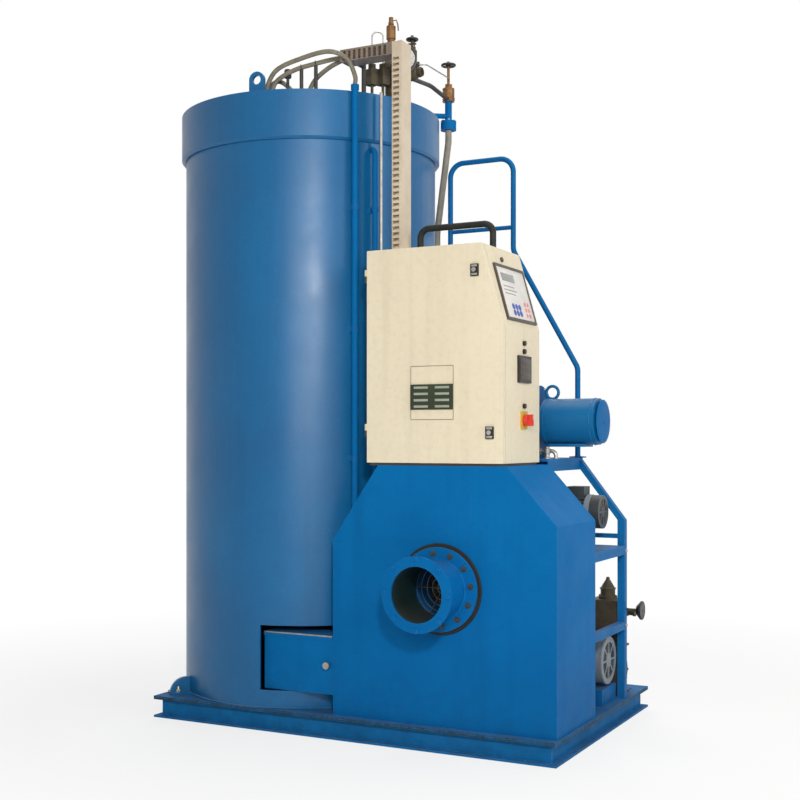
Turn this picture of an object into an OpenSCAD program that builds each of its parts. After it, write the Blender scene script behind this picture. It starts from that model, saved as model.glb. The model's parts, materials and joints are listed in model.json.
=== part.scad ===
/* [Skid] */
// Free deck to the right of the burner housing
deck_side = 10; // [5:1:60]
// Width of the base frame, front to back
skid_w = 1120; // [1080:5:1300]
// Height of the frame channels
skid_h = 80; // [60:5:140]
// Width of the channel flanges, which face outwards
flange_w = 25; // [20:1:60]
// Thickness of the deck plate on the channels
deck_t = 6; // [4:1:12]

/* [Boiler casing] */
// Outer radius of the sheet casing, which stands flush with the front of the base frame
casing_r = 528; // [505:1:540]
// How far the casing stands out past the left end of the base frame
casing_over = 101; // [60:1:120]
// Sheet thickness of the casing
casing_t = 8; // [4:1:14]
// Height from the deck to the top plate
casing_h = 2347; // [2200:1:2500]
// Height of the band round the top
hood_h = 188; // [140:1:300]
// How far the band stands out from the casing
hood_out = 18; // [10:1:25]
// Height of the band's rim above the top plate
rim_h = 32; // [10:1:60]
// Inner radius of the flue collar
flue_r = 144; // [100:1:180]

/* [Burner housing] */
// Distance from the casing's middle to the housing's left wall
housing_step = 393; // [380:1:420]
// Width of the housing
housing_w = 893; // [860:1:920]
// Depth of the housing
housing_d = 417; // [380:1:440]
// Height of the housing above the deck
housing_h = 944; // [880:1:1000]
// Width of the left sloped shoulder
shoulder_l_w = 192; // [120:1:200]
// Drop of the left sloped shoulder
shoulder_l_h = 282; // [150:1:300]
// Width of the right sloped shoulder
shoulder_r_w = 186; // [120:1:220]
// Drop of the right sloped shoulder
shoulder_r_h = 206; // [120:1:260]
// Bore radius of the air inlet
inlet_r = 99; // [80:1:110]
// Length of the air inlet in front of the housing
inlet_l = 196; // [150:1:220]
// Outer radius of the inlet flanges
inlet_flange_r = 135; // [133:1:150]
// Pitch circle diameter of the inlet bolts
inlet_pcd = 250; // [240:1:254]

/* [Control cabinet] */
// Width of the cabinet
cab_w = 545; // [500:1:560]
// Depth of the cabinet with its door
cab_d = 361; // [300:1:400]
// Height of the cabinet
cab_h = 787; // [720:1:840]
// Sheet thickness of the cabinet walls
cab_t = 4; // [2:1:6]
// Depth of the door
door_d = 22; // [16:1:30]
// Gap between the door and the cabinet's rim
door_gap = 5; // [5:0.5:8]
// Drop of the sloped display face at the top right
slope_h = 291; // [240:1:340]
// Run of the sloped display face
slope_w = 82; // [50:1:100]

/* [Cable trunking] */
// Width of the trunking
trunk_w = 40; // [30:1:60]
// Depth of the trunking
trunk_d = 75; // [50:1:90]
// Height of the top of the level trunking above the casing's rim
trunk_up = 152; // [120:1:200]
// Length of the level trunking, from the upright one to its left end
trunk_l = 225; // [180:1:240]

/* [Pipework] */
// Radius of the front riser pipe
riser_r = 13.5; // [8:0.5:17]
// Radius of the steam outlet pipe
steam_r = 24; // [18:1:30]
// Radius of the valve wheels
wheel_r = 33; // [28:1:40]

/* [Pump frame and rail] */
// Distance from the housing's back to the middle of the back posts
frame_d = 385; // [360:1:420]
// Leg width of the frame's angle bars
angle_w = 30; // [25:1:40]
// Height of the right back post above the deck
post_h = 716; // [680:1:760]
// Height of the top of the platform beams above the deck
beam_top = 959; // [940:1:980]
// Radius of the bent rail tube
rail_r = 11; // [8:0.5:14]
// Height of the bent rail above the platform beams
rail_h = 1257; // [1150:1:1350]

/* [Machines] */
// Radius of the blower drum
blower_r = 144; // [120:1:165]
// Radius of the blower motor
fan_motor_r = 90; // [70:1:100]
// Radius of the feed pump's motor
pump_motor_r = 92; // [70:1:100]
// Radius of the circulation motor
upper_motor_r = 66; // [50:1:72]

/* [Hidden] */
$fn = 64;

// Shared clearances and overruns
over = 2;
seat = 0.3;
run_gap = 0.25;
bend_over = 0.2;
bend_lap = 2;

// Skid values
flange_t = 8;
web_t = 6;
cross_w = 60;
cross_share = 0.27;
anchor_r = 6.5;
anchor_in = 120;
deck_z = skid_h + deck_t;
skid_l = casing_r - casing_over + housing_step + housing_w + deck_side;
skid_x = skid_l / 2;
skid_y = skid_w / 2;
web_in = flange_w + web_t;

// Casing values
casing_x = casing_r - casing_over - skid_x;
casing_y = casing_r - skid_y;
plate_t = 8;
hood_r = casing_r + hood_out;
hood_bevel = 9;
hood_lip = 10;
top_z = deck_z + casing_h;
deck_top = top_z + plate_t;
rim_z = deck_top + rim_h;
hood_z = rim_z - hood_h;
flue_t = 6;
flue_h = 118;
lug_w = 64;
lug_t = 15;
lug_h = 112;
lug_eye_r = 17.5;
lug_turn = 7.3;
lug_at = sqrt(pow(casing_r, 2) - pow(lug_w / 2, 2)) - lug_t / 2 - seat;
foot_l = 82;
foot_h = 66;
foot_t = 16;
foot_pad_w = 70;
foot_pad_t = 10;
foot_turns = [60, 120, 230];

// Burner housing and air duct values
housing_x0 = casing_x + housing_step;
housing_x1 = housing_x0 + housing_w;
housing_in = 35;
housing_y0 = housing_in - skid_y;
housing_y1 = housing_y0 + housing_d;
housing_z = deck_z + housing_h;
casing_gap = 1;
inlet_x = housing_x0 + housing_w / 2;
inlet_up = 499;
inlet_z = deck_z + inlet_up;
inlet_t = 9;
inlet_flange_t = 13;
inlet_depth = 150;
inlet_neck = 9;
inlet_back_r = 153;
inlet_bolts = 8;
inlet_bolt_r = 5.5;
duct_h = 223;
duct_up = 73;
duct_z = deck_z + duct_up;
duct_in = 2;
duct_reach = 120;
duct_d = 136;
duct_lip = 16;
duct_lip_t = 6;
cut_gap = 3;
cut_top = 25;
cut_off = 82;
cut_x = casing_x + cut_off;
knob_r = 11;
knob_l = 20;

// Cabinet values
cab_gap = 11;
plinth_h = 10;
plinth_in = 8;
cab_x0 = casing_x + casing_r + cab_gap;
cab_x1 = cab_x0 + cab_w;
cab_y0 = housing_y0;
cab_y1 = cab_y0 + cab_d;
cab_z0 = housing_z + plinth_h;
cab_z1 = cab_z0 + cab_h;
slope_z = cab_z1 - slope_h;
slope_x = cab_x1 - slope_w;
slope_turn = atan2(slope_w, slope_h);
door_t = 3;
rim_w = 18;
body_y0 = cab_y0 + door_d + door_gap;
hinge_off = 8;
hinge_r = 6.5;
hinge_pin_r = 4;
hinge_h = 24;
hinge_gap = 1;
hinge_leaf_t = 3;
hinge_leaf_l = 36;
hinge_x = cab_x0 - hinge_off;
hinge_y = cab_y0 + door_d / 2;
hinge_shares = [0.12, 0.85];
hinge_zs = [for (share = hinge_shares) cab_z0 + share * cab_h];
latch_w = 30;
latch_h = 44;
latch_d = 9;
latch_turn_r = 9;
latch_turn_d = 5;
latch_top_in = 24;
latch_top_low = 97;
latch_low_in = 48;
latch_low_up = 110;
vent_w = 170;
vent_h = 92;
vent_d = 5;
vent_rows = 4;
vent_in = 269;
vent_up = 240;
vent_slot_w = 58;
vent_slot_h = 9;
vent_plate_h = 194;
vent_plate_t = 2;
vent_plate_low = 36;
mount_plate_t = 3;
mount_plate_in = 45;
standoff_r = 7;
standoff_l = 18;
display_w = 280;
display_l = 214;
display_d = 8;
display_rim = 10;
display_low = 26;
lamp_r = 9;
lamp_d = 7;
lamp_up = 24;
lamp_share = 0.35;
instrument_w = 120;
instrument_h = 98;
instrument_d = 9;
instrument_up = 293;
button_r = 9;
button_d = 10;
button_low = 85;
button_first = 17;
button_pitch = 30;
switch_w = 65;
switch_t = 4;
switch_back = 198;
switch_up = 156;
switch_y = cab_y0 + switch_back;
switch_z = cab_z0 + switch_up;
switch_r = 21;
switch_d = 18;
grip_w = 12;
grip_d = 16;
shaft_r = 5;
shaft_l = 10;

// Trunking values
trunk_in = 58;
trunk_back = 90;
trunk_x = cab_x0 + trunk_in;
trunk_y = cab_y0 + trunk_back;
trunk_z = rim_z + trunk_up;
trunk_h = trunk_z - cab_z1;
trunk_base_t = 3;
lid_t = 2;
lid_lap = 9;
slot_depth = 26;
level_h = 46;
slot_pitch = 22;
slot_w = 12;
slot_share = 0.78;
post_r = 9;
post_shares = [0.04, 0.13];
hose_r = 12;
hose_bend = 36;
hose_rise = 92;
hose_back = 150;
hose_in = 51;
hose_side = 18;
conduit_r = 9;
conduit_bend = 60;
conduit_lead = 75;
conduit_drop = 70;
conduit_step = 20;
conduit_turns = [-75.5, -80];
conduit_in = 38;
gland_r = 14;
gland_h = 22;

// Pipe values
pipe_gap = 2;
riser_turn = -41.5;
riser_ring = hood_r + riser_r + pipe_gap;
riser_at = on_ring(riser_ring, riser_turn);
cap_r = 16;
cap_h = 20;
sensing_r = 11;
sensing_turn = -32.7;
sensing_bend = 28;
sensing_drop = 18;
sensing_ring = hood_r + sensing_r + pipe_gap;
vent_r = 6;
vent_turn = -30.8;
vent_out = 22;
vent_ring = hood_r + vent_r + vent_out;
vent_at = on_ring(vent_ring, vent_turn);

// Steam outlet values
steam_in = 86;
steam_turn = -12.2;
steam_at = on_ring(casing_r - steam_in, steam_turn);
steam_flange_r = 52;
steam_flange_t = 14;
steam_body_r = 38;
steam_up = 152;
steam_z = rim_z + steam_up;
boss_r = 22;
boss_h = 52;
stop_reach = 105;
stop_turn = 62;
stop_r = 18;
stop_body_r = 32;
stop_out = 46;
stop_bore_r = 14;
stop_bore_l = 30;
stop_at = steam_at + stop_reach * [cos(stop_turn), sin(stop_turn)];
bonnet_r = 20;
bonnet_h = 92;
stem_r = 6;
stop_wheel_up = 290;
stop_wheel_r = 26;
stop_wheel_z = rim_z + stop_wheel_up;
wheel_t = 10;
wheel_hub_r = 11;
wheel_hub_h = 16;
spoke_r = 3.5;
spokes = 3;
safety_nut_r = 20;
safety_nut_h = 18;
safety_body_r = 15;
safety_body_h = 50;
safety_bonnet_r = 19;
safety_bonnet_h = 52;
safety_cap_r = 9;
safety_cap_h = 36;
gauge_r = 48;
gauge_d = 34;
gauge_rim = 5;
gauge_recess = 4;
gauge_turn = 25;
gauge_off = 122;
gauge_side = 36.6;
gauge_pipe_r = 7;
gauge_pipe_h = 26;
gauge_bend = 20;
gauge_up = 5;
gauge_z = steam_z + gauge_up;
gauge_at = steam_at + gauge_off * [cos(gauge_side), -sin(gauge_side)];

// Pressure switches, siphon loop and capillary values
press_turns = [-24.9, -20.6];
press_ins = [95, 67];
press_stem_r = 6;
press_stem_h = 100;
press_w = 42;
press_d = 36;
press_h = 64;
press_cap_r = 15;
press_cap_h = 20;
press_z = deck_top + press_stem_h + press_h + press_cap_h;
siphon_r = 3;
siphon_h = 130;
siphon_bend = 20;
capillary_r = 3;
capillary_up = 30;
capillary_lead = 40;
capillary_bend = 24;
capillary_high = 105;

// Drain valve values
drain_turn = 36.6;
drain_out = 51;
drain_in = 66;
drain_dir = [cos(drain_turn), sin(drain_turn)];
drain_at = on_ring(hood_r + drain_out, drain_turn);
drain_from = on_ring(casing_r - drain_in, drain_turn);
drain_up = 57;
drain_z = rim_z + drain_up;
drain_r = 15;
drain_stub_r = 11;
drain_bend = 30;
drain_half_h = 62;
drain_flange_r = 34;
drain_flange_h = 40;
drain_body_r = 26;
drain_body_h = 58;
drain_wheel_up = 160;
drain_wheel_z = drain_z + drain_half_h + drain_wheel_up;
hose_out_r = 14;
hose_slant = 50;
hose_slant_h = 400;
hose_lead = 50;
hose_turn_r = 150;
link_r = 9;
link_low = 22;
link_high = 24;
link_rise = 16;
link_share = 0.5;
link_bend = 300;

// Pump frame values
angle_t = 4;
frame_in = 33;
frame_x1 = housing_x1;
frame_y = housing_y1 + frame_d - angle_w / 2;
frame_x0 = casing_x + casing_r - frame_in;
platform_gap = 20;
platform_x0 = casing_x + casing_r + platform_gap;
beam_z = deck_z + beam_top;
beam_h = 42;
slant_x = frame_x1 - shoulder_r_w;
low_rail_h = 278;
mid_rail_h = 578;
bar_h = 642;
bar_w = 18;
low_rail_z = deck_z + low_rail_h;
mid_rail_z = deck_z + mid_rail_h;
bar_z = deck_z + bar_h;
shelf_t = 6;
shelf_l = 290;
rail_in = 16;
rail_lean = 283;
rail_foot_x = slant_x - rail_in;
rail_mid_x = rail_foot_x - rail_lean;
rail_left_x = frame_x0 + rail_in;
rail_y = frame_y + angle_w / 2;
rail_z = beam_z + shelf_t;
rail_knee_h = 368;
rail_shoulder_h = 868;
rail_bend = 60;
rung_r = 9;
rung_h = 965;

// Machine values
blower_back = 153;
blower_y = housing_y1 + blower_back;
blower_z = beam_z + shelf_t + blower_r;
blower_l = 170;
blower_in = 90;
blower_x1 = slant_x - blower_in;
blower_plate_t = 12;
blower_eye_r = 82;
blower_eye_l = 24;
blower_eye_t = 6;
blower_eye_d = 90;
blower_foot_share = 0.8;
fan_motor_l = 231;
fan_neck_l = 26;
fan_neck_share = 0.7;
fan_dome_h = 14;
eye_ring_r = 25;
eye_wire_r = 6;
eye_in = 24;
fan_box_l = 92;
fan_box_w = 78;
fan_box_out = 36;
motor_back = 266;
motor_y = housing_y1 + motor_back;
motor_in = 2;
motor_foot_h = 13;
foot_share = 0.75;
fins = 20;
fin_t = 4;
core_share = 0.86;
cowl_share = 0.3;
grille_share = 0.78;
grille_hub_share = 0.3;
grille_d = 10;
grille_bars = 8;
grille_bar_w = 7;
motor_shaft_r = 12;
motor_shaft_l = 38;
motor_pad_t = 10;
bed_h = 64;
bed_w = 172;
pump_motor_l = 270;
pump_motor_z = deck_z + bed_h + motor_foot_h + pump_motor_r;
upper_in = 25;
upper_foot_h = 73;
upper_motor_l = 205;
upper_motor_z = mid_rail_z + angle_w + shelf_t + upper_foot_h + upper_motor_r;
box_w = 70;
box_h = 34;
pump_clear = 18;
pump_in = 10;
pump_w = 125;
pump_d = 110;
pump_h = 384;
pump_y = frame_y + angle_w + pump_clear;
dome_r = 30;
dome_h = 44;
cone_r = 12;
collar_out = 8;
collar_h = 12;
pump_lip = 8;
case_h = 190;
case_out = 34;
cover_r = 44;
cover_t = 8;
cone_h = 30;
pump_stem_up = 349;
pump_stem_in = 20;
pump_stem_z = deck_z + pump_stem_up;
pump_stem_y = pump_y + pump_stem_in;
pump_wheel_out = 42;
pump_wheel_r = 38;
stem_end = 12;

module block(lo, hi) {
    translate(lo) cube(hi - lo);
}

// Straight round bar between two points
module rod(a, b, r) {
    d = b - a;
    translate(a)
        rotate([0, acos(d.z / norm(d)), atan2(d.y, d.x)])
            cylinder(h = norm(d), r = r);
}

// A place seen from the casing's axis: distance out and turn
function on_ring(r, turn) = [casing_x, casing_y] + r * [cos(turn), sin(turn)];

// Quarter bends and straights along a path: each inner corner is rounded by the bend radius
function unit(v) = v / norm(v);
function turn_at(p, i) = acos(unit(p[i] - p[i - 1]) * unit(p[i + 1] - p[i]));
function trim_at(p, i, bend) = (i == 0 || i == len(p) - 1) ? 0 : bend * tan(turn_at(p, i) / 2);

module pipe_run(p, r, bend) {
    for (i = [0 : len(p) - 2]) {
        u = unit(p[i + 1] - p[i]);
        lap0 = i == 0 ? 0 : bend_lap;
        lap1 = i == len(p) - 2 ? 0 : bend_lap;
        rod(p[i] + u * (trim_at(p, i, bend) - lap0), p[i + 1] - u * (trim_at(p, i + 1, bend) - lap1), r);
    }
    for (i = [1 : len(p) - 2])
        pipe_bend(p[i], unit(p[i] - p[i - 1]), unit(p[i + 1] - p[i]), r, bend);
}

module pipe_bend(corner, u, v, r, bend) {
    turn = acos(u * v);
    n = unit(cross(u, v));
    a = cross(u, n);
    c = corner - u * bend * tan(turn / 2) - a * bend;
    multmatrix([[a.x, u.x, n.x, c.x], [a.y, u.y, n.y, c.y], [a.z, u.z, n.z, c.z], [0, 0, 0, 1]])
        rotate_extrude(angle = turn) translate([bend, 0]) circle(r = r + bend_over);
}

module on_axis() {
    translate([casing_x, casing_y, 0]) children();
}

// One side of the frame's ring of channels, mitred at both ends
module mitred_strip(l, half, d0, d1) {
    polygon([[d0 - l / 2, d0 - half], [l / 2 - d0, d0 - half],
             [l / 2 - d1, d1 - half], [d1 - l / 2, d1 - half]]);
}

module channel(l, half) {
    for (z = [0, skid_h - flange_t])
        translate([0, 0, z]) linear_extrude(flange_t) mitred_strip(l, half, 0, web_in);
    linear_extrude(skid_h) mitred_strip(l, half, flange_w, web_in);
}

module skid_long_channels() {
    color("steelblue") difference() {
        for (side = [0, 180])
            rotate([0, 0, side]) channel(skid_l, skid_y);
        for (x = [-1, 1] * (skid_x - anchor_in), y = [-1, 1] * (skid_y - flange_w / 2))
            translate([x, y, -over]) cylinder(h = flange_t + 2 * over, r = anchor_r);
    }
}

module skid_side_channels() {
    color("steelblue")
        for (side = [90, 270])
            rotate([0, 0, side]) channel(skid_w, skid_x);
}

module skid_cross_beams() {
    w = skid_w - 2 * web_in;
    color("steelblue")
        for (x = [-cross_share * skid_l, 0, cross_share * skid_l])
            translate([x - cross_w / 2, -w / 2, 0]) {
                for (z = [0, skid_h - flange_t])
                    translate([0, 0, z]) cube([cross_w, w, flange_t]);
                translate([(cross_w - web_t) / 2, 0, 0]) cube([web_t, w, skid_h]);
            }
}

module deck_plate() {
    color("steelblue") block([-skid_x, -skid_y, skid_h], [skid_x, skid_y, deck_z]);
}

// The opening in the casing that the air duct enters
module duct_opening() {
    block([cut_x, housing_y0 + duct_in - duct_d, duct_z - cut_gap],
          [housing_x0 + duct_reach, housing_y0 + duct_in + duct_d + cut_gap, duct_z + duct_h + cut_top]);
}

module casing_shell() {
    color("royalblue") difference() {
        on_axis() translate([0, 0, deck_z]) cylinder(h = casing_h, r = casing_r);
        on_axis() translate([0, 0, deck_z - over])
            cylinder(h = casing_h + 2 * over, r = casing_r - casing_t);
        duct_opening();
    }
}

module casing_base() {
    color("steelblue")
        on_axis() translate([0, 0, deck_z]) cylinder(h = plate_t, r = casing_r - casing_t - seat);
}

module casing_top() {
    color("royalblue") on_axis() translate([0, 0, top_z]) cylinder(h = plate_t, r = casing_r);
}

module casing_hood() {
    color("royalblue") on_axis() rotate_extrude()
        polygon([[casing_r + seat, hood_z], [casing_r + hood_lip, hood_z], [hood_r, hood_z + hood_bevel],
                 [hood_r, rim_z], [casing_r + seat, rim_z]]);
}

module flue_collar() {
    color("royalblue") on_axis() translate([0, 0, deck_top]) difference() {
        cylinder(h = flue_h, r = flue_r + flue_t);
        translate([0, 0, -over]) cylinder(h = flue_h + 2 * over, r = flue_r);
    }
}

module lifting_lugs() {
    color("royalblue") on_axis()
        for (side = [lug_turn, 180 + lug_turn])
            rotate([0, 0, side]) translate([0, lug_t / 2 - lug_at, deck_top]) rotate([90, 0, 0])
                difference() {
                    union() {
                        translate([-lug_w / 2, 0, 0]) cube([lug_w, lug_h - lug_w / 2, lug_t]);
                        translate([0, lug_h - lug_w / 2, 0]) cylinder(h = lug_t, r = lug_w / 2);
                    }
                    translate([0, lug_h - lug_w / 2, -over]) cylinder(h = lug_t + 2 * over, r = lug_eye_r);
                }
}

module hold_down_feet() {
    color("royalblue") on_axis()
        for (turn = foot_turns)
            rotate([0, 0, turn]) translate([casing_r + seat, 0, deck_z]) {
                translate([0, -foot_pad_w / 2, 0]) cube([foot_l, foot_pad_w, foot_pad_t]);
                translate([0, foot_t / 2, 0]) rotate([90, 0, 0]) {
                    cube([foot_l - foot_h, foot_h, foot_t]);
                    translate([foot_l - foot_h, 0, 0]) intersection() {
                        cylinder(h = foot_t, r = foot_h);
                        cube([foot_h, foot_h, foot_t]);
                    }
                }
            }
}

// The housing's front outline, extruded back
module housing_form() {
    translate([0, housing_y1, 0]) rotate([90, 0, 0]) linear_extrude(housing_d)
        polygon([[housing_x0, deck_z], [housing_x1, deck_z],
                 [housing_x1, housing_z - shoulder_r_h], [housing_x1 - shoulder_r_w, housing_z],
                 [housing_x0 + shoulder_l_w, housing_z], [housing_x0, housing_z - shoulder_l_h]]);
}

module burner_housing() {
    color("royalblue") difference() {
        housing_form();
        on_axis() translate([0, 0, deck_z - over])
            cylinder(h = housing_h + 2 * over, r = casing_r + casing_gap);
        translate([inlet_x, housing_y0 + inlet_depth, inlet_z]) rotate([90, 0, 0])
            cylinder(h = inlet_depth + over, r = inlet_r + inlet_t);
    }
}

module air_duct() {
    y0 = housing_y0 + duct_in;
    color("royalblue") {
        block([cut_x + cut_gap, y0, duct_z], [housing_x0, y0 + duct_d, duct_z + duct_h]);
        block([cut_x + cut_gap, y0 - duct_lip_t, duct_z + duct_h - duct_lip],
              [housing_x0, y0, duct_z + duct_h]);
        translate([housing_x0 - 2 * knob_r, y0, duct_z + duct_h / 2]) rotate([90, 0, 0]) {
            cylinder(h = knob_l, r = knob_r / 2);
            translate([0, 0, knob_l / 2]) cylinder(h = knob_l / 2, r = knob_r);
        }
    }
}

module inlet_spool() {
    color("royalblue") translate([inlet_x, housing_y0, inlet_z]) rotate([90, 0, 0]) difference() {
        union() {
            cylinder(h = inlet_l, r = inlet_r + inlet_t);
            cylinder(h = inlet_neck, r = inlet_back_r - inlet_flange_t);
            translate([0, 0, inlet_neck]) cylinder(h = inlet_flange_t, r = inlet_back_r);
            translate([0, 0, inlet_l - inlet_flange_t]) cylinder(h = inlet_flange_t, r = inlet_flange_r);
        }
        translate([0, 0, -over]) cylinder(h = inlet_l + 2 * over, r = inlet_r);
        for (i = [0 : inlet_bolts - 1])
            rotate([0, 0, i * 360 / inlet_bolts])
                translate([inlet_pcd / 2, 0, inlet_l - inlet_flange_t - over])
                    cylinder(h = inlet_flange_t + 2 * over, r = inlet_bolt_r);
    }
}

module cabinet_plinth() {
    color("steelblue")
        block([cab_x0 + plinth_in, cab_y0 + plinth_in, housing_z],
              [cab_x1 - plinth_in, cab_y1 - plinth_in, cab_z0]);
}

// The cabinet's five-sided outline, drawn in from its outer faces
module cabinet_outline(inset) {
    side = inset / cos(slope_turn);
    lean = inset * tan(slope_turn);
    polygon([[cab_x0 + inset, cab_z0 + inset], [cab_x1 - inset, cab_z0 + inset],
             [cab_x1 - inset, slope_z - inset * tan(slope_turn / 2)],
             [slope_x - side + lean, cab_z1 - inset], [cab_x0 + inset, cab_z1 - inset]]);
}

module cabinet_slice(y0, y1, inset) {
    translate([0, y1, 0]) rotate([90, 0, 0]) linear_extrude(y1 - y0) cabinet_outline(inset);
}

module cabinet_body() {
    color("wheat") difference() {
        cabinet_slice(body_y0, cab_y1, 0);
        cabinet_slice(body_y0 + cab_t, cab_y1 - cab_t, cab_t);
        cabinet_slice(body_y0 - over, body_y0 + cab_t + over, rim_w);
    }
}

module mounting_plate() {
    y1 = cab_y1 - cab_t;
    x0 = cab_x0 + mount_plate_in;
    x1 = slope_x - mount_plate_in;
    z0 = cab_z0 + mount_plate_in;
    z1 = cab_z1 - mount_plate_in;
    color("silver") {
        block([x0, y1 - standoff_l - mount_plate_t, z0], [x1, y1 - standoff_l, z1]);
        for (x = [x0 + 2 * standoff_r, x1 - 2 * standoff_r], z = [z0 + 2 * standoff_r, z1 - 2 * standoff_r])
            translate([x, y1, z]) rotate([90, 0, 0]) cylinder(h = standoff_l, r = standoff_r);
    }
}

// Fixed hinge halves: barrel, pin and a cranked leaf on the cabinet's left wall
module cabinet_hinges() {
    y2 = body_y0 + hinge_off;
    color("silver")
        for (z = hinge_zs)
            translate([0, 0, z]) {
                translate([hinge_x, hinge_y, 0]) cylinder(h = hinge_h, r = hinge_r);
                translate([hinge_x, hinge_y, 0]) cylinder(h = 2 * hinge_h, r = hinge_pin_r);
                block([hinge_x - hinge_leaf_t, hinge_y, 0], [hinge_x, y2 + hinge_leaf_l, hinge_h]);
                block([hinge_x - hinge_leaf_t, y2, 0], [cab_x0, y2 + hinge_leaf_l, hinge_h]);
            }
}

// Folded door with its hinge knuckles
module cabinet_door() {
    color("wheat") difference() {
        union() {
            difference() {
                cabinet_slice(cab_y0, cab_y0 + door_d, 0);
                cabinet_slice(cab_y0 + door_t, cab_y0 + door_d + over, door_t);
            }
            for (z = hinge_zs)
                translate([0, 0, z + hinge_h + hinge_gap]) {
                    translate([hinge_x, hinge_y, 0]) cylinder(h = hinge_h, r = hinge_r);
                    block([hinge_x, hinge_y - hinge_r, 0], [cab_x0 + door_t, hinge_y + hinge_r, hinge_h]);
                }
        }
        for (z = hinge_zs)
            translate([hinge_x, hinge_y, z + hinge_h])
                cylinder(h = hinge_h + 2 * hinge_gap, r = hinge_pin_r + run_gap);
    }
}

module latch_at(x, z) {
    translate([x - latch_w / 2, cab_y0 - latch_d, z - latch_h / 2]) cube([latch_w, latch_d, latch_h]);
    translate([x, cab_y0 - latch_d, z]) rotate([90, 0, 0]) cylinder(h = latch_turn_d, r = latch_turn_r);
}

module door_latches() {
    color("dimgray") {
        latch_at(slope_x - latch_top_in, cab_z1 - latch_top_low);
        latch_at(cab_x1 - latch_low_in, cab_z0 + latch_low_up);
    }
}

// Thin plain plate on the door that carries the vent block
module vent_plate() {
    x = cab_x0 + vent_in;
    z = cab_z0 + vent_up - vent_h / 2 - vent_plate_low;
    color("wheat")
        block([x - vent_w / 2, cab_y0 - vent_plate_t, z], [x + vent_w / 2, cab_y0, z + vent_plate_h]);
}

module door_vent() {
    x = cab_x0 + vent_in;
    z = cab_z0 + vent_up - vent_h / 2;
    y = cab_y0 - vent_plate_t;
    row_h = vent_h / vent_rows;
    color("dimgray") difference() {
        block([x - vent_w / 2, y - vent_d, z], [x + vent_w / 2, y, z + vent_h]);
        for (side = [-1, 1], row = [0 : vent_rows - 1])
            translate([x + side * vent_w / 4 - vent_slot_w / 2, y - vent_d - over,
                       z + row * row_h + (row_h - vent_slot_h) / 2])
                cube([vent_slot_w, vent_d / 2 + over, vent_slot_h]);
    }
}

// Places a shape drawn flat on the sloped face: x runs back, y up the slope, z outwards
module on_slope() {
    translate([cab_x1, body_y0, slope_z]) rotate([90 - slope_turn, 0, 90]) children();
}

module display_panel() {
    l = norm([slope_w, slope_h]);
    x = (cab_y1 - body_y0) / 2 - display_w / 2;
    y = (l - display_l) / 2 - display_low;
    color("dimgray") on_slope() {
        translate([x, y, 0]) difference() {
            cube([display_w, display_l, display_d]);
            translate([display_rim, display_rim, display_d / 2])
                cube([display_w - 2 * display_rim, display_l - 2 * display_rim, display_d]);
        }
        translate([x + lamp_share * display_w, y + display_l + lamp_up, 0]) cylinder(h = lamp_d, r = lamp_r);
    }
}

module side_button(y, z) {
    translate([cab_x1, y, z]) rotate([0, 90, 0]) cylinder(h = button_d, r = button_r);
}

module side_instruments() {
    z = cab_z0 + instrument_up;
    first = z + instrument_h + button_first;
    color("black") {
        block([cab_x1, switch_y - instrument_w / 2, z],
              [cab_x1 + instrument_d, switch_y + instrument_w / 2, z + instrument_h]);
        side_button(switch_y, z - button_low);
        side_button(switch_y, first);
        side_button(switch_y, first + button_pitch);
    }
}

module switch_plate() {
    color("gold") {
        block([cab_x1, switch_y - switch_w / 2, switch_z - switch_w / 2],
              [cab_x1 + switch_t, switch_y + switch_w / 2, switch_z + switch_w / 2]);
        translate([cab_x1 + switch_t, switch_y, switch_z]) rotate([0, 90, 0])
            cylinder(h = shaft_l, r = shaft_r);
    }
}

module switch_handle() {
    color("red") translate([cab_x1 + switch_t + seat, switch_y, switch_z]) rotate([0, 90, 0]) difference() {
        union() {
            cylinder(h = switch_d, r = switch_r);
            translate([-switch_r, -grip_w / 2, 0]) cube([2 * switch_r, grip_w, switch_d + grip_d]);
        }
        translate([0, 0, -over]) cylinder(h = shaft_l + over, r = shaft_r + run_gap);
    }
}

// Slotted channel with a plain lid on its right side
module upright_trunking() {
    slots = floor((trunk_h - level_h - slot_pitch) / slot_pitch);
    color("tan") translate([trunk_x, trunk_y, cab_z1]) {
        difference() {
            cube([trunk_w, trunk_d, trunk_h]);
            for (i = [1 : slots])
                translate([trunk_base_t, -over, i * slot_pitch])
                    cube([trunk_w * slot_share, slot_depth + over, slot_w]);
        }
        translate([trunk_w, -lid_t, 0]) cube([lid_t, trunk_d + 2 * lid_t, trunk_h]);
        for (y = [-lid_t, trunk_d])
            translate([trunk_w - lid_lap, y, 0]) cube([lid_lap, lid_t, trunk_h]);
    }
}

module level_trunking() {
    slots = floor((trunk_l - slot_pitch) / slot_pitch);
    color("tan") translate([trunk_x - trunk_l, trunk_y, trunk_z - level_h]) difference() {
        cube([trunk_l, trunk_d, level_h]);
        for (i = [0 : slots - 1])
            translate([i * slot_pitch + slot_w, -over, trunk_base_t])
                cube([slot_w, slot_depth + over, level_h * slot_share]);
    }
}

// Uprights between the top plate and the back of the level trunking
module trunking_posts() {
    y = trunk_y + trunk_d + seat + post_r;
    color("dimgray")
        for (share = post_shares) {
            x = trunk_x - trunk_l + share * trunk_l;
            rod([x, y, deck_top], [x, y, trunk_z - post_r], post_r);
        }
}

module cabinet_hose() {
    y = cab_y0 + hose_back;
    x0 = trunk_x + trunk_w + hose_in;
    x1 = slope_x - hose_side;
    z = cab_z1 + hose_rise;
    color("black")
        pipe_run([[x0, y, cab_z1], [x0, y, z], [x1, y, z], [x1, y, cab_z1]], hose_r, hose_bend);
}

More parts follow.
